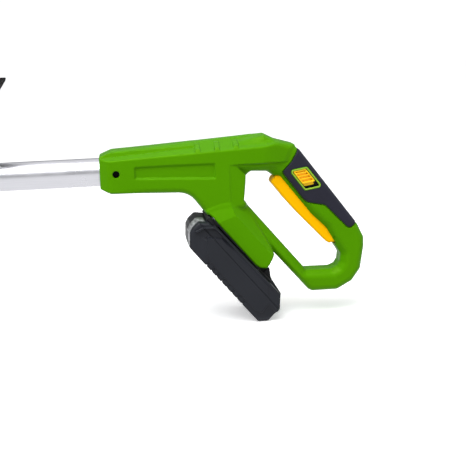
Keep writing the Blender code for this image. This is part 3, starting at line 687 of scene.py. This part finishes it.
def slide_field(x, y, z):
    wide = abs(y)
    line = SLIDE(x, z)
    shape = meet(line, wide - 17.0, 0.5)
    shape = less(shape, meet(line + 1.3, 12.6 - wide), 0.2)
    shape = minimum(shape, meet(SLIDE_FOOT(x, z), wide - 14.6))
    lean = LEAN * (z + 18.9)
    for step in range(4):
        rib = meet(slab(x - lean, 14.9 + 3.7 * step, 16.3 + 3.7 * step), line + 0.6)
        shape = minimum(shape, meet(rib, wide - 16.9, 0.5))
    return shape


def shade_slide_plate(x, y, z):
    """The plate that runs inside the shells and closes the window round the slide; it is part of the amber
    slide, and its black is painted shade in the window's gap.
    """
    return block(x, abs(y), z, (8.4, 41), (9.3, 11.3), (-19.2, -6.4), 0.4)


def build_housing():
    for name, side in (("left", -1), ("right", 1)):
        y_run = sorted((-0.5 * side, 31.5 * side))
        solid(f"housing_half_{name}", "housing", GREEN, shell_field(side), (-1, y_run[0], -133),
              (265, y_run[1], 33), STEP, f"handle_shell_{name}", keep=0.4)
        y_run = sorted((-0.5 * side, 18.5 * side))
        solid(f"grip_skin_{name}", "housing", RUBBER, pad_field(side), (174, y_run[0], -68),
              (262, y_run[1], 22), STEP, f"grip_pad_{name}", keep=0.5)
    solid("trigger_blade", "trigger", AMBER_GLOW, trigger_field, (6, -11.5, -42), (99, 11.5, -19), STEP,
          "trigger", place=GRIP)
    solid("lock_slider", "lock_off", YELLOW_GLOW, slide_field, (11, -18, -20), (35, 18, -6), 0.55, "lock_slide",
          place=GRIP)
    solid("lock_window_highlight", "housing", RIM_HIGHLIGHT, rim_highlight_field, (186, -19, -31), (225, 19, 8), 0.6)
    # Black on the slide's plate: painted shade in the window's gap.
    solid("lock_slider_shade_plate", "lock_off", BLACK, shade_slide_plate, (8, -12, -20), (42, 12, -6), 0.8,
          place=GRIP)


# ---- battery

PACK_HALF = 37.5
SEAM = -12.7
CASE = Outline(
    [(7.8, -36.3), (-2.4, -26.8), (1.2, -12.7), (9.6, -3.3), (104, -1.6), (114.8, -12.1), (116.33, -28.5),
     (109.9, -36.3)],
    [2.5, 2.5, 3, 3, 3, 3, 3, 2.5])
CASE_MIDDLE = Outline(
    [(7.8, -36.3), (-2.6, -26.8), (-4.8, -21), (-4.9, -13), (3.0, -5.6), (9.5, -5.6), (12.5, -3.2),
     (104, -1.6), (114.8, -12.1), (116.33, -28.5), (109.9, -36.3)],
    [2.5, 3, 2.5, 2.5, 1.5, 1, 1, 3, 3, 3, 2.5])
SIDE_PANEL = Outline(
    [(12.6, -16.6), (23.4, -7.6), (88.5, -5.6), (102.5, -16.4), (104.7, -27.2), (98.2, -30.2), (33.7, -30.2),
     (23.9, -28.4)], 1.2)


def front_line(x, y, z):
    """The pack's outline between its two side plates, with a slightly rounded front."""
    return CASE_MIDDLE(x + 1.2 * (1 - (y / PACK_HALF) ** 2) * ramp(x, 34, 2), z)


def case_skin(x, y, z):
    """The pack's outside: a flat panel on each side, sloping bevels round it and ribbed lower edges."""
    wide = abs(y)
    panel = SIDE_PANEL(x, z)
    line = CASE(x, z)
    bevel = 0.22 * maximum(panel, 0) + 0.9 * clip(panel, 0, 0.9) / 0.9
    deep = (0.8 + 2.4 * ramp(x, 42, 24)) * ramp(x, 104, 92)
    trough = deep * clip(minimum(panel / 1.8, (-line - 1.5) / 0.8), 0, 1)
    upper = ramp(z + 0.25 * clip(20 - x, 0, 20), -19, -15)
    side = wide - (PACK_HALF - bevel - (trough - bevel) * upper)
    skin = minimum(meet(line, side, 0.6), meet(front_line(x, y, z), wide - 34.5, 3.0))
    notch = meet(abs((x - 28) % 7.6 - 3.8) - 1.1, slab(x, 26, 90))
    groove = meet(meet(notch, z + 31.4), -(skin + 0.8))
    return less(skin, groove, 0.3)


RAMP = Outline([(76, -6), (76, -1.4), (88, -1.2), (100, 0.2), (109.2, -1.4), (111, -6)], [0, 0.5, 3, 2, 1, 0])


def lower_case(x, y, z):
    skin = case_skin(x, y, z)
    room = meet(block(x, y, z, (5, 109), (-34.3, 34.3), (-33.8, 0)), skin + 1.2)
    return meet(less(skin, room), z - SEAM + 0.01)


def upper_case(x, y, z):
    skin = case_skin(x, y, z)
    room = meet(block(x, y, z, (8, 108), (-34.3, 34.3), (-30, -6)), skin + 1.2)
    shape = less(meet(skin, SEAM + 0.01 - z), room)
    ramp_line = RAMP(x, z)
    wide = abs(y)
    tower = block(x, wide, z, (14, 72), (-1, 21), (-4, 9.4), 0.8)
    rail = block(x, wide, z, (14, 72), (-1, 25), (5, 9.4), 0.8)
    shape = join(shape, minimum(tower, rail), 0.4)
    shape = join(shape, meet(ramp_line, wide - 18.5, 0.6), 0.6)
    for blade in (-13, 0, 13):
        shape = less(shape, block(x, y - blade, z, (10, 30), (-1.2, 1.2), (1.2, 20)), 0.3)
    shape = less(shape, block(x, y, z, (80, 100), (-15.3, 15.3), (-9, 20)), 0.3)
    return less(shape, block(x, y, z, (84, 96), (-8, 8), (-20, 0)))


LATCH = Outline([(80.3, -4), (80.3, 7.2), (82.6, 7.0), (89, 2.6), (93, 1.2), (99.7, 0.3), (99.7, -4)],
                        [0.3, 1.2, 1, 3, 3, 0.6, 0.3])


def latch(x, y, z):
    shape = meet(LATCH(x, z), abs(y) - 15, 1.0)
    rib = abs((x - 84.5 + 1.1) % 2.2 - 1.1) - 0.55
    rib = meet(rib, slab(x, 83.5, 97.5))
    rib = meet(rib, abs(y) - 12.5)
    return less(shape, meet(rib, -(LATCH(x, z) + 0.7)), 0.15)


def skirt_and_shade(x, y, z):
    """A dark skirt round the dock's mouth, under the foot; its black is partly painted shade, for the shadow
    in the gap between foot and pack.
    """
    wide = abs(y)
    ring = meet(slab(x, 1.0, 91.5), wide - (29.4 - 0.03 * x), 3.0)
    hole = meet(slab(x, -9, 80), wide - 26.4, 2.0)
    skirt = meet(less(ring, hole), slab(z, -1.45, 0.25), 0.3)
    skirt = less(skirt, meet(78 - x, wide - 16.8))
    return minimum(skirt, block(x, wide, z, (-1.0, 12), (-1, 27.5), (-6.0, -1.2), 0.8))


def label(x, y, z):
    """A thin foil sticker folded over the two upper facets of the pack's front."""
    line = front_line(x, y, z)
    low = meet(slab(y, -34.0, -21.5), slab(z, -35.0, -26.4))
    lean = y - 0.3 * (z + 27)
    high = meet(slab(lean, -31.5, -11.0), slab(z, -27.4, -8.0))
    return meet(slab(line, -0.3, 0.22), minimum(low, high))


def build_battery():
    low, high = (-8, -38, -37), (117, 38, -12)
    solid("pack_lower", "battery", PACK, lower_case, low, high, 0.85, "battery_case_lower", place=DOCK)
    solid("pack_upper", "battery", PACK, upper_case, (-8, -38, -13.5), (117, 38, 10.5), 0.85,
          "battery_case_upper", place=DOCK)
    solid("pack_latch", "latch", BLACK, latch, (79, -15.5, -3), (101, 15.5, 8), 0.4, "battery_latch",
          place=DOCK)
    solid("pack_label", "battery", FOIL, label, (-8, -37.5, -36), (9.5, 15, -5), 0.35, place=DOCK, keep=0.4)
    # The black skirt under the foot is partly painted shade in the gap between foot and pack.
    solid("dock_skirt_and_shade", "housing", BLACK, skirt_and_shade, (-7.5, -30, -5), (93, 30, 1), 0.7, place=DOCK)


# ---- boom

def lathe(profile, sides=96):
    """A closed profile of (radius, height) points turned about X."""
    spin = np.linspace(0, 2 * math.pi, sides, endpoint=False)
    radius, height = np.array(profile, float).T
    around = (np.cos(spin)[None, :] * radius[:, None]).ravel()
    across = (np.sin(spin)[None, :] * radius[:, None]).ravel()
    faces = []
    for i in range(len(profile)):
        n = (i + 1) % len(profile)
        for k in range(sides):
            m = (k + 1) % sides
            faces.append((n * sides + k, n * sides + m, i * sides + m, i * sides + k))
    return np.stack((np.repeat(height, sides), around, across), 1), faces


def built(name, body, finish, points, faces, place=TOOL, angle=30, stands_for=()):
    """A piece from points and faces of its place, shaded smooth below an angle."""
    mesh = bpy.data.meshes.new(name)
    mesh.from_pydata(place.row(np.array(points, float)).tolist(), [], faces)
    mesh.validate()
    mesh.shade_smooth()
    mesh.set_sharp_from_angle(angle=math.radians(angle))
    piece(name, mesh, body, finish, stands_for)


def parted(line, runs=12):
    """The closed profile with its long sides divided."""
    made = []
    for a, b in zip(line, line[1:] + line[:1]):
        count = runs if abs(a[1] - b[1]) > 100 else 1
        made += [a] + [tuple(np.array(a) + (np.array(b) - np.array(a)) * t / count) for t in range(1, count)]
    return made


UPPER_WALL, UPPER_RUN = 1.3, (-450, 60)
LOWER_WALL, LOWER_RUN = 1.2, (-621, -175)


def tube_profile(outer, wall, front, back):
    return rounded([(outer, front), (outer, back), (outer - wall, back), (outer - wall, front)], 0.4, 3)


def build_boom():
    points, faces = lathe(parted(tube_profile(TUBE_R, UPPER_WALL, *UPPER_RUN)))
    built("boom_upper", "housing", ALUMINIUM, points, faces, stands_for=["upper_tube"])
    points, faces = lathe(tube_profile(INNER_R, LOWER_WALL, *LOWER_RUN))
    built("boom_lower", "lower_boom", ALUMINIUM, points, faces, stands_for=["lower_tube"])


# ---- boom joint and front handle

LEVER_AT = (-460.0, 24.6)
COLLAR_START = -472.0
EAR = Outline([(-470.5, 10), (-451.5, 10), (-453.5, 28.4), (-466.5, 28.4)], [0, 0, 4, 4])
LEVER = Outline(
    [(-463.8, 23.4), (-460, 21.0), (-454, 23.2), (-418, 23.4), (-410.6, 25.6), (-412, 28.2), (-436, 27.4),
     (-456, 29.2), (-463, 28.4)],
    [2, 2, 6, 8, 1, 1.2, 30, 3, 2])


def flutes(a, b, count):
    """How far a direction is from the nearest of some evenly spread grooves, 0 to 1."""
    turn = np.arctan2(b, a) * count / (2 * math.pi)
    return abs(turn - np.round(turn)) * 2


def collar(x, y, z):
    radius = hypot(y, z)
    outside = np.interp(x, [COLLAR_START, -466, -416, -410], [17.2, 20, 20, 17.8])
    groove = 0.9 * ramp(flutes(y, z, 14), 0.45, 0.1) * ramp(abs(x + 428), 11, 9)
    shape = meet(radius - outside + groove, slab(x, COLLAR_START, -410), 1.2)
    ears = meet(EAR(x, z), slab(abs(y), 6.3, 10.9), 1.0)
    shape = join(shape, ears, 1.0)
    shape = less(shape, block(x, y, z, (-473, -452), (-0.7, 0.7), (5, 40)))
    shape = less(shape, np.where(x > -450.3, radius - TUBE_R - FIT, radius - INNER_R - FIT))
    return less(shape, rod(x, z, abs(y), LEVER_AT, PIN_BORE, (-1, 20)))


def lever(x, y, z):
    shape = meet(LEVER(x, z), abs(y) - 5.8, 1.4)
    ridge = meet(abs((x + 420) % 3.6 - 1.8) - 0.7, slab(x, -434, -414))
    shape = less(shape, meet(ridge, -(LEVER(x, z) + 0.6)), 0.2)
    return less(shape, disc(x, z, LEVER_AT, PIN_BORE))


def clamp(side):
    def field(x, y, z):
        along = x - LOOP.x
        shape = meet(hypot(y, z) - 18.4, slab(along, -17, 17), 2.0)
        shape = join(shape, block(along, y, z, (-16.8, 16.8), (-20, 20), (-5, 5), 1.6), 1.5)
        groove = meet(abs((along + 3) % 6 - 3) - 0.8, slab(along, -12, 12))
        shape = less(shape, meet(groove, 17.4 - hypot(y, z)), 0.4)
        if side < 0:
            boss = meet(hypot(along, z - LOOP.z) - 9, slab(y, -17, 17), 1.0)
            stem = block(along, y, z, (-9, 9), (-17, 17), (LOOP.z, -8), 1.0)
            shape = join(shape, minimum(boss, stem), 1.0)
            shape = less(shape, hypot(along, z - LOOP.z) - HINGE_BORE)
        shape = less(shape, hypot(y, z) - TUBE_R - FIT)
        return meet(shape, GAP - side * z, 0.4)
    return field


LOOP_BOW, LOOP_DROP = 3.6, 2.6   # how far the loop's top bows forward of its plane and drops along it
BAR_R = 7.5
HINGE_BORE = 3.4
LOOP_LINE = rounded([(-28.5, 0), (-28.5, 26), (-58, 62), (-46, 133), (46, 133), (58, 62), (28.5, 26),
                     (28.5, 0)],
                    [0, 14, 24, 26, 26, 24, 14, 0], 8)


def off_line(line, u, v):
    """Distance to an open line of points."""
    near = None
    for (au, av), (bu, bv) in zip(line, line[1:]):
        eu, ev = bu - au, bv - av
        t = clip(((u - au) * eu + (v - av) * ev) / max(eu * eu + ev * ev, 1e-9), 0, 1)
        gone = (u - au - eu * t) ** 2 + (v - av - ev * t) ** 2
        near = gone if near is None else minimum(near, gone)
    return np.sqrt(near)


def bowed(x, z):
    share = ramp(z, 45, 100)
    return x + LOOP_BOW * share, z + LOOP_DROP * share


def loop_bar(x, y, z):
    x, z = bowed(x, z)
    bar = hypot(off_line(LOOP_LINE, y, z), x) - BAR_R
    boss = meet(hypot(x, z) - 10, slab(abs(y), 17.4, 36.2), 1.2)
    teeth = 0.8 * ramp(flutes(x, z, 16), 0.6, 0.2) * ramp(abs(y), 34.6, 35.4)
    shape = join(bar, boss + teeth, 3.0)
    shape = meet(shape, 17.4 - abs(y) - 100 * ramp(z, 9, 16))
    return less(shape, hypot(x, z) - HINGE_BORE)


def loop_grip(x, y, z):
    x, z = bowed(x, z)
    off = off_line(LOOP_LINE, y, z)
    far = hypot(off, x)
    rings = np.where(z > 118, np.sin(y * 1.25), np.sin(z * 1.25))
    heel = meet(meet(abs(x) - 9.2, off - 11.6 - 0.67 * x, 0.8), maximum(124 - z, abs(y) - 42))
    shape = meet(minimum(far - 9.75 - 0.4 * np.tanh(rings * 2.5), heel), 87.8 - z, 1.5)
    return less(shape, far - 7.8)


def star(x, y, z):
    along, over = x - LOOP.x, z - LOOP.z
    radius = hypot(along, over)
    petals = 12.2 + 1.9 * np.cos(6 * np.arctan2(over, along))
    shape = meet((radius - petals) * 0.9, slab(y, 36.7, 50), 2.4)
    shape = less(shape, meet(radius - 6.4, 48.8 - y), 0.5)
    return less(shape, meet(radius - 3.3, y - 46.6))


def build_boom_joint():
    solid("clamp_collar", "housing", BLACK, collar, (-473, -21, -21), (-409, 21, 29), 0.9, "boom_collar")
    solid("clamp_lever", "cam_lever", AMBER_GLOW, lever, (-465, -6.5, 20), (-409, 6.5, 30), 0.6, "cam_lever")


def build_front_handle():
    for name, side in (("upper", 1), ("lower", -1)):
        z_run = (-1, 19.5) if side > 0 else (-34, 1)
        solid(f"handle_clamp_{name}", "front_clamp", BLACK, clamp(side), (-192, -21, z_run[0]),
              (-155, 21, z_run[1]), 0.9, f"aux_clamp_{name}")
    solid("handle_bar", "front_handle", BLACK, loop_bar, (-14, -66, -11), (11, 66, 142), 1.2,
          "aux_handle_loop", place=LOOP)
    solid("handle_sleeve", "front_handle", SLEEVE, loop_grip, (-16.5, -70, 86), (9, 70, 149), 0.9,
          "aux_grip", place=LOOP, keep=0.5)
    solid("handle_star_knob", "clamp_knob", BLACK, star, (-189, 36, -40), (-158, 51, -8), 0.7, "aux_knob")


# ---- cutting head

DOME = Outline([(-38, 10), (38, 10), (38, 38), (35.5, 56), (28.5, 69), (15, 77), (-15, 77), (-28.5, 69),
                        (-35.5, 56), (-38, 38)], [2.5, 2.5, 12, 12, 12, 10, 10, 12, 12, 12])
ARM = Outline([(-10, 60), (-6, 78)] + arc(PIVOT_LOCAL, 15, 150, -60, 14) + [(38, 50), (10, 45)], 0)
HEAD_SCREW = (-12, 70)
TILT_BORE = 3.3
BUTTON_OUT = 8               # tilt button's place behind the pivot
GUARD_SCREWS = [arc((0, 0), 32, angle, angle, 1)[0] for angle in (150, 210)]


def neck(x, y, z):
    sleeve = hypot(y, z) - 16.4
    ring = 0.7 * ramp(abs((x - PIVOT_X - 3) % 6 - 3), 1.6, 0.9) * ramp(abs(x - PIVOT_X - 48), 11, 10)
    shape = meet(sleeve + ring, slab(x, PIVOT_X + 16.5, PIVOT_X + 62), 2.0)
    tongue = join(block(x, y, z, (PIVOT_X, PIVOT_X + 20), (-9.7, 9.7), (-14, 14)),
                  meet(hypot(x - PIVOT_X, z) - 14.4, abs(y) - 9.7, 0.8), 0.2)
    shape = join(shape, tongue, 1.0)
    shape = less(shape, meet(hypot(y, z) - INNER_R - FIT, -621.3 - x))
    shape = less(shape, hypot(x - PIVOT_X, z) - TILT_BORE)
    return less(shape, meet(hypot(x - PIVOT_X - BUTTON_OUT, y) - 4.6, 6 - z), 0.3)


def button(x, y, z):
    radius = hypot(x - PIVOT_X - BUTTON_OUT, y)
    shape = meet(radius - 4.2, slab(z, 8.8, 19), 0.9)
    return less(shape, meet(abs((x - PIVOT_X + 0.5) % 1.6 - 0.8) - 0.3, 18.5 - z), 0.1)


def head_shell(side):
    def field(x, y, z):
        px, pz = PIVOT_LOCAL
        wide, radius = abs(y), hypot(x, y)
        dome = DOME(radius, z)
        shape = join(dome, meet(ARM(x, z), wide - 17, 3.0), 4.0)
        shape = less(shape, meet(abs(z - 20) - 0.7, -(dome + 0.9)), 0.3)
        for step in range(5):
            lean = x + 0.35 * (z - 42) - 6.4 * (step - 2)
            slot = meet(meet(abs(lean) - 1.3, slab(z, 30, 54)), 20 - wide)
            shape = less(shape, slot, 0.5)
        shape = less(shape, meet(radius - 26, slab(z, 15.7, 66)))
        shape = less(shape, meet(radius - 6, z - 20))
        shape = less(shape, block(x, wide, z, (px - 17, 120), (-1, 10), (pz - 17, 160)), 0.4)
        shape = less(shape, disc(x, z, PIVOT_LOCAL, TILT_BORE))
        hole = hypot(x - HEAD_SCREW[0], z - HEAD_SCREW[1])
        shape = less(shape, hole - 1.6)
        if side > 0:
            shape = less(shape, meet(hole - 3.4, 10 - y), 0.2)
        for screw in GUARD_SCREWS:
            shape = less(shape, meet(disc(x, y, screw, 1.6), z - 20))
        shape = less(shape, rod(x, z, wide, (0, 24), 2.3, (31, 60)))
        return meet(shape, GAP - side * y, 0.4)
    return field


RIM_R = 149.4
FAN = Outline(arc((0, 0), RIM_R, -78, 78, 40) + arc((0, 0), 50, 100, 260, 24), 0)


def guard(x, y, z):
    radius = hypot(x, y)
    edge = FAN(x, y)
    angle = np.degrees(np.arctan2(y, x))
    ribs = np.zeros_like(radius)
    for middle in (-64, -39, -13, 13, 39, 64):
        off = radius * np.radians(abs(angle - middle))
        ribs = maximum(ribs, ramp(off, 1.9, 0.9) * ramp(radius, 56, 60) * ramp(radius, 144, 140))
    ribs = maximum(ribs, ramp(abs(radius - 100), 1.9, 0.9) * ramp(abs(angle), 66, 64))
    bead = ramp(-edge, 5.0, 3.0)
    plate = meet(edge, maximum(5.2 - z, z - 8.2 - 1.4 * maximum(ribs, bead)), 0.9)
    skirt = meet(meet(edge, RIM_R - 3.4 - radius), slab(z, -12, 8), 1.1)
    skirt = meet(skirt, abs(angle) - 78)
    shape = join(plate, skirt, 2.0)
    shape = less(shape, radius - 8)
    for screw in GUARD_SCREWS:
        shape = less(shape, disc(x, y, screw, SCREW_SHANK))
    return shape


def swept(points, radius, sides=16):
    """A round bar along points, with flat ends."""
    line = [Vector(p) for p in points]
    side, made, faces = None, [], []
    for i, p in enumerate(line):
        before = (p - line[i - 1]).normalized() if i else (line[1] - p).normalized()
        after = (line[i + 1] - p).normalized() if i < len(line) - 1 else before
        run = (before + after).normalized()
        side = run.orthogonal() if side is None else side - run * side.dot(run)
        side.normalize()
        other = run.cross(side)
        made += [tuple(p + (side * math.cos(a) + other * math.sin(a)) * radius)
                 for a in np.linspace(0, 2 * math.pi, sides, endpoint=False)]
    for i in range(len(line) - 1):
        for k in range(sides):
            m = (k + 1) % sides
            faces.append((i * sides + k, i * sides + m, (i + 1) * sides + m, (i + 1) * sides + k))
    faces.append(tuple(range(sides))[::-1])
    faces.append(tuple(range(len(made) - sides, len(made))))
    return made, faces


def flowing(points, rounds=3):
    """The line with its corners cut again and again, its ends kept."""
    line = [Vector(p) for p in points]
    for _ in range(rounds):
        made = [line[0]]
        for a, b in zip(line, line[1:]):
            made += [a.lerp(b, 0.25), a.lerp(b, 0.75)]
        line = made + [line[-1]]
    return [tuple(p) for p in line]


WIRE_R = 1.8
BOW_R, BOW_ARM = 140.0, 74.0   # radius of the bow's front and half its width


def plant_wire():
    radius, arm = BOW_R, BOW_ARM
    reach = math.sqrt(radius ** 2 - arm ** 2)
    edge = math.degrees(math.asin(arm / radius))
    front = [(x, y, -2) for x, y in arc((0, 0), radius, 180 - edge, 180 + edge, 24)]
    near = [(0, 35, 24), (0, 41, 24), (-6, 44.5, 24), (-30, 52, 24), (-reach + 14, arm - 2, 23),
            (-reach + 3, arm, 14)]
    far = [(x, -y, z) for x, y, z in reversed(near)]
    return swept(flowing(near + front + far, 2), WIRE_R)


CUP = Outline([(4.3, 3), (38, 3), (46, -1), (46, -20), (43.4, -20), (43.4, -1.5), (38, 0), (4.3, 0)],
                      [0.4, 3, 3, 0.6, 0.4, 1, 1, 0.3])
COVER = Outline([(46, -20.3), (46, -24), (42, -27), (28, -27), (28, -24.6), (41, -24.6), (42.6, -20.3)],
                        [0.5, 1.5, 1.5, 0.6, 0.5, 1, 0.3])
CAP = Outline([(-26, -19.3), (26, -19.3), (27, -24), (27, -33), (22, -38), (0, -40), (-22, -38), (-27, -33),
                       (-27, -24)], [0.6, 0.6, 2, 4, 4, 40, 4, 4, 2])


def spool_cup(x, y, z):
    radius = hypot(x, y)
    groove = 0.9 * ramp(flutes(x, y, 32), 0.5, 0.15) * ramp(abs(z + 13), 6.5, 5.5) * ramp(radius, 44.5, 45.2)
    groove = groove * ramp(abs(y), 7, 9)
    shape = CUP(radius, z) + groove
    return less(shape, hypot(y, z + 11) - 3.5, 0.2)


def spool_lid(x, y, z):
    radius = hypot(x, y)
    groove = 0.8 * ramp(flutes(x, y, 32), 0.5, 0.15) * ramp(radius, 44, 45)
    shape = COVER(radius, z) + groove
    return less(shape, meet(meet(flutes(x, y, 8) * 12 - 2.4, slab(radius, 31, 38)), -24 - z), 0.2)


def bump(x, y, z):
    radius = hypot(x, y)
    scallop = 1.6 * ramp(flutes(x, y, 9), 0.55, 0.1) * ramp(z, -23.5, -26) * ramp(radius, 18, 25)
    shape = CAP(radius, z) + scallop
    return less(shape, meet(abs(radius - 12) - 0.7, z + 38.6), 0.4)


def build_head():
    solid("neck_fork", "lower_boom", BLACK, neck, (PIVOT_X - 15, -17, -17), (PIVOT_X + 63, 17, 17), 0.9,
          "head_neck")
    solid("tilt_push_button", "tilt_release", AMBER_GLOW, button, (PIVOT_X + 3, -5, 8), (PIVOT_X + 13, 5, 20),
          0.4, "tilt_button")
    for name, side in (("left", -1), ("right", 1)):
        y_run = sorted((-0.5 * side, 39 * side))
        solid(f"head_half_{name}", "head", GREEN, head_shell(side), (-39, y_run[0], 9), (54, y_run[1], 113),
              1.0, f"head_shell_{name}", place=HEAD)
    solid("guard_shield", "head", BLACK, guard, (-51, -151, -13), (151, 151, 11), 1.2, "guard", place=HEAD,
          keep=0.35)
    points, faces = plant_wire()
    built("plant_bow", "plant_guard", STEEL, points, faces, HEAD, 50, ["plant_guard_wire"])
    solid("spool_drum", "spool", BLACK, spool_cup, (-47, -47, -21), (47, 47, 4), 0.9, "spool_housing",
          place=HEAD)
    solid("spool_lid", "spool", BLACK, spool_lid, (-47, -47, -28), (47, 47, -20), 0.8, "spool_cover",
          place=HEAD)
    solid("bump_button", "bump_knob", AMBER_GLOW, bump, (-28, -28, -41), (28, 28, -19), 0.8, "bump_cap",
          place=HEAD)


# ---- studio

def paper(name, colour, glow):
    """Matt stage paper that also glows."""
    made = bpy.data.materials.new(name)
    made.use_nodes = True
    return set_sockets(made, Base_Color=(*colour, 1), Roughness=0.9, Specular_IOR_Level=0.0,
                       Emission_Color=(1, 1, 1, 1), Emission_Strength=glow)


def sheet(name, material, corners, hidden=()):
    """A flat stage board given by its four corners in the row frame."""
    mesh = bpy.data.meshes.new(name)
    mesh.from_pydata(corners, [], [(0, 1, 2, 3)])
    mesh.materials.append(material)
    obj = bpy.data.objects.new(name, mesh)
    bpy.context.scene.collection.objects.link(obj)
    for ray in hidden:
        setattr(obj, "visible_" + ray, False)


def lamp(name, place, aim, size, power):
    """A square area light at place, turned to aim."""
    data = bpy.data.lights.new(name, "AREA")
    data.size, data.energy = size, power
    obj = bpy.data.objects.new(name, data)
    turn = (Vector(place) - Vector(aim)).to_track_quat("Z", "Y").to_matrix().to_4x4()
    obj.matrix_world = Matrix.Translation(place) @ turn
    bpy.context.scene.collection.objects.link(obj)


def board(y, top):
    """Corners of an upright board across the whole stage."""
    return [(-FAR, y, LOW), (FAR, y, LOW), (FAR, y, top), (-FAR, y, top)]


FAR, LOW = 12.0, -0.0005     # reach of the stage and height of its floor
FLAG_Y = 2.2                 # distance of the flags in front and behind
KEY_SIZE, KEY_POWER = 1.5, 34
LENS, SENSOR = 78.03, 36.0
CAMERA_AT = (25.465, -1003.342, 117.872)      # from the tool's origin, in millimetres
CAMERA_BACK = (-0.10278, -0.97787, 0.18224)
CAMERA_RIGHT = (0.99301, -0.11156, -0.03860)


def build_camera():
    data = bpy.data.cameras.new("studio_camera")
    data.lens, data.sensor_width = LENS, SENSOR
    data.clip_end = 40
    camera = bpy.data.objects.new("studio_camera", data)
    bpy.context.scene.collection.objects.link(camera)
    back = Vector(CAMERA_BACK).normalized()
    right = Vector(CAMERA_RIGHT)
    right = (right - back * right.dot(back)).normalized()
    turn = Matrix((right, back.cross(right), back)).transposed().to_4x4()
    camera.matrix_world = Matrix.Translation(ORIGIN + Vector(CAMERA_AT) * MM) @ turn
    bpy.context.scene.camera = camera


def build_studio():
    scene = bpy.context.scene
    scene.view_settings.view_transform = "Standard"
    world = bpy.data.worlds.new("studio")
    scene.world = world
    world.use_nodes = True
    world.node_tree.nodes["Background"].inputs["Color"].default_value = (1, 1, 1, 1)
    world.node_tree.nodes["Background"].inputs["Strength"].default_value = 0.7

    sheet("studio_floor", paper("studio_paper", (0.95, 0.955, 0.965), 0.35),
          [(-FAR, -FAR, LOW), (FAR, -FAR, LOW), (FAR, FAR, LOW), (-FAR, FAR, LOW)], ("diffuse",))
    white = paper("studio_wall_paper", (0, 0, 0), 1.05)
    around = [(-FAR, -FAR), (FAR, -FAR), (FAR, FAR), (-FAR, FAR)]
    for i, ((ax, ay), (bx, by)) in enumerate(zip(around, around[1:] + around[:1])):
        sheet(f"studio_wall_{i + 1}", white, [(ax, ay, -0.01), (bx, by, -0.01), (bx, by, FAR), (ax, ay, FAR)],
              ("diffuse", "glossy", "transmission", "shadow"))
    unseen = ("camera", "diffuse", "transmission", "shadow")
    sheet("studio_flag", paper("studio_flag_cloth", (0, 0, 0), 0.33), board(-FLAG_Y, 0.95), unseen)
    sheet("studio_flag_low", paper("studio_flag_felt", (0, 0, 0), 0.85),
          [(-FAR, -FLAG_Y, 0.004), (FAR, -FLAG_Y, 0.004), (FAR, 0.8, 0.004), (-FAR, 0.8, 0.004)], unseen)
    sheet("studio_flag_back", paper("studio_flag_back_cloth", (0, 0, 0), 0.2), board(FLAG_Y, 1.6), unseen)
    middle = ORIGIN + Vector((0.12, 0, -0.03))
    lamp("studio_key", middle + Vector((-0.5, -0.75, 1.55)), middle, KEY_SIZE, KEY_POWER)
    build_camera()


build_housing()
build_battery()
build_boom()
build_boom_joint()
build_front_handle()
build_head()
finish_kept_nodes()
build_studio()
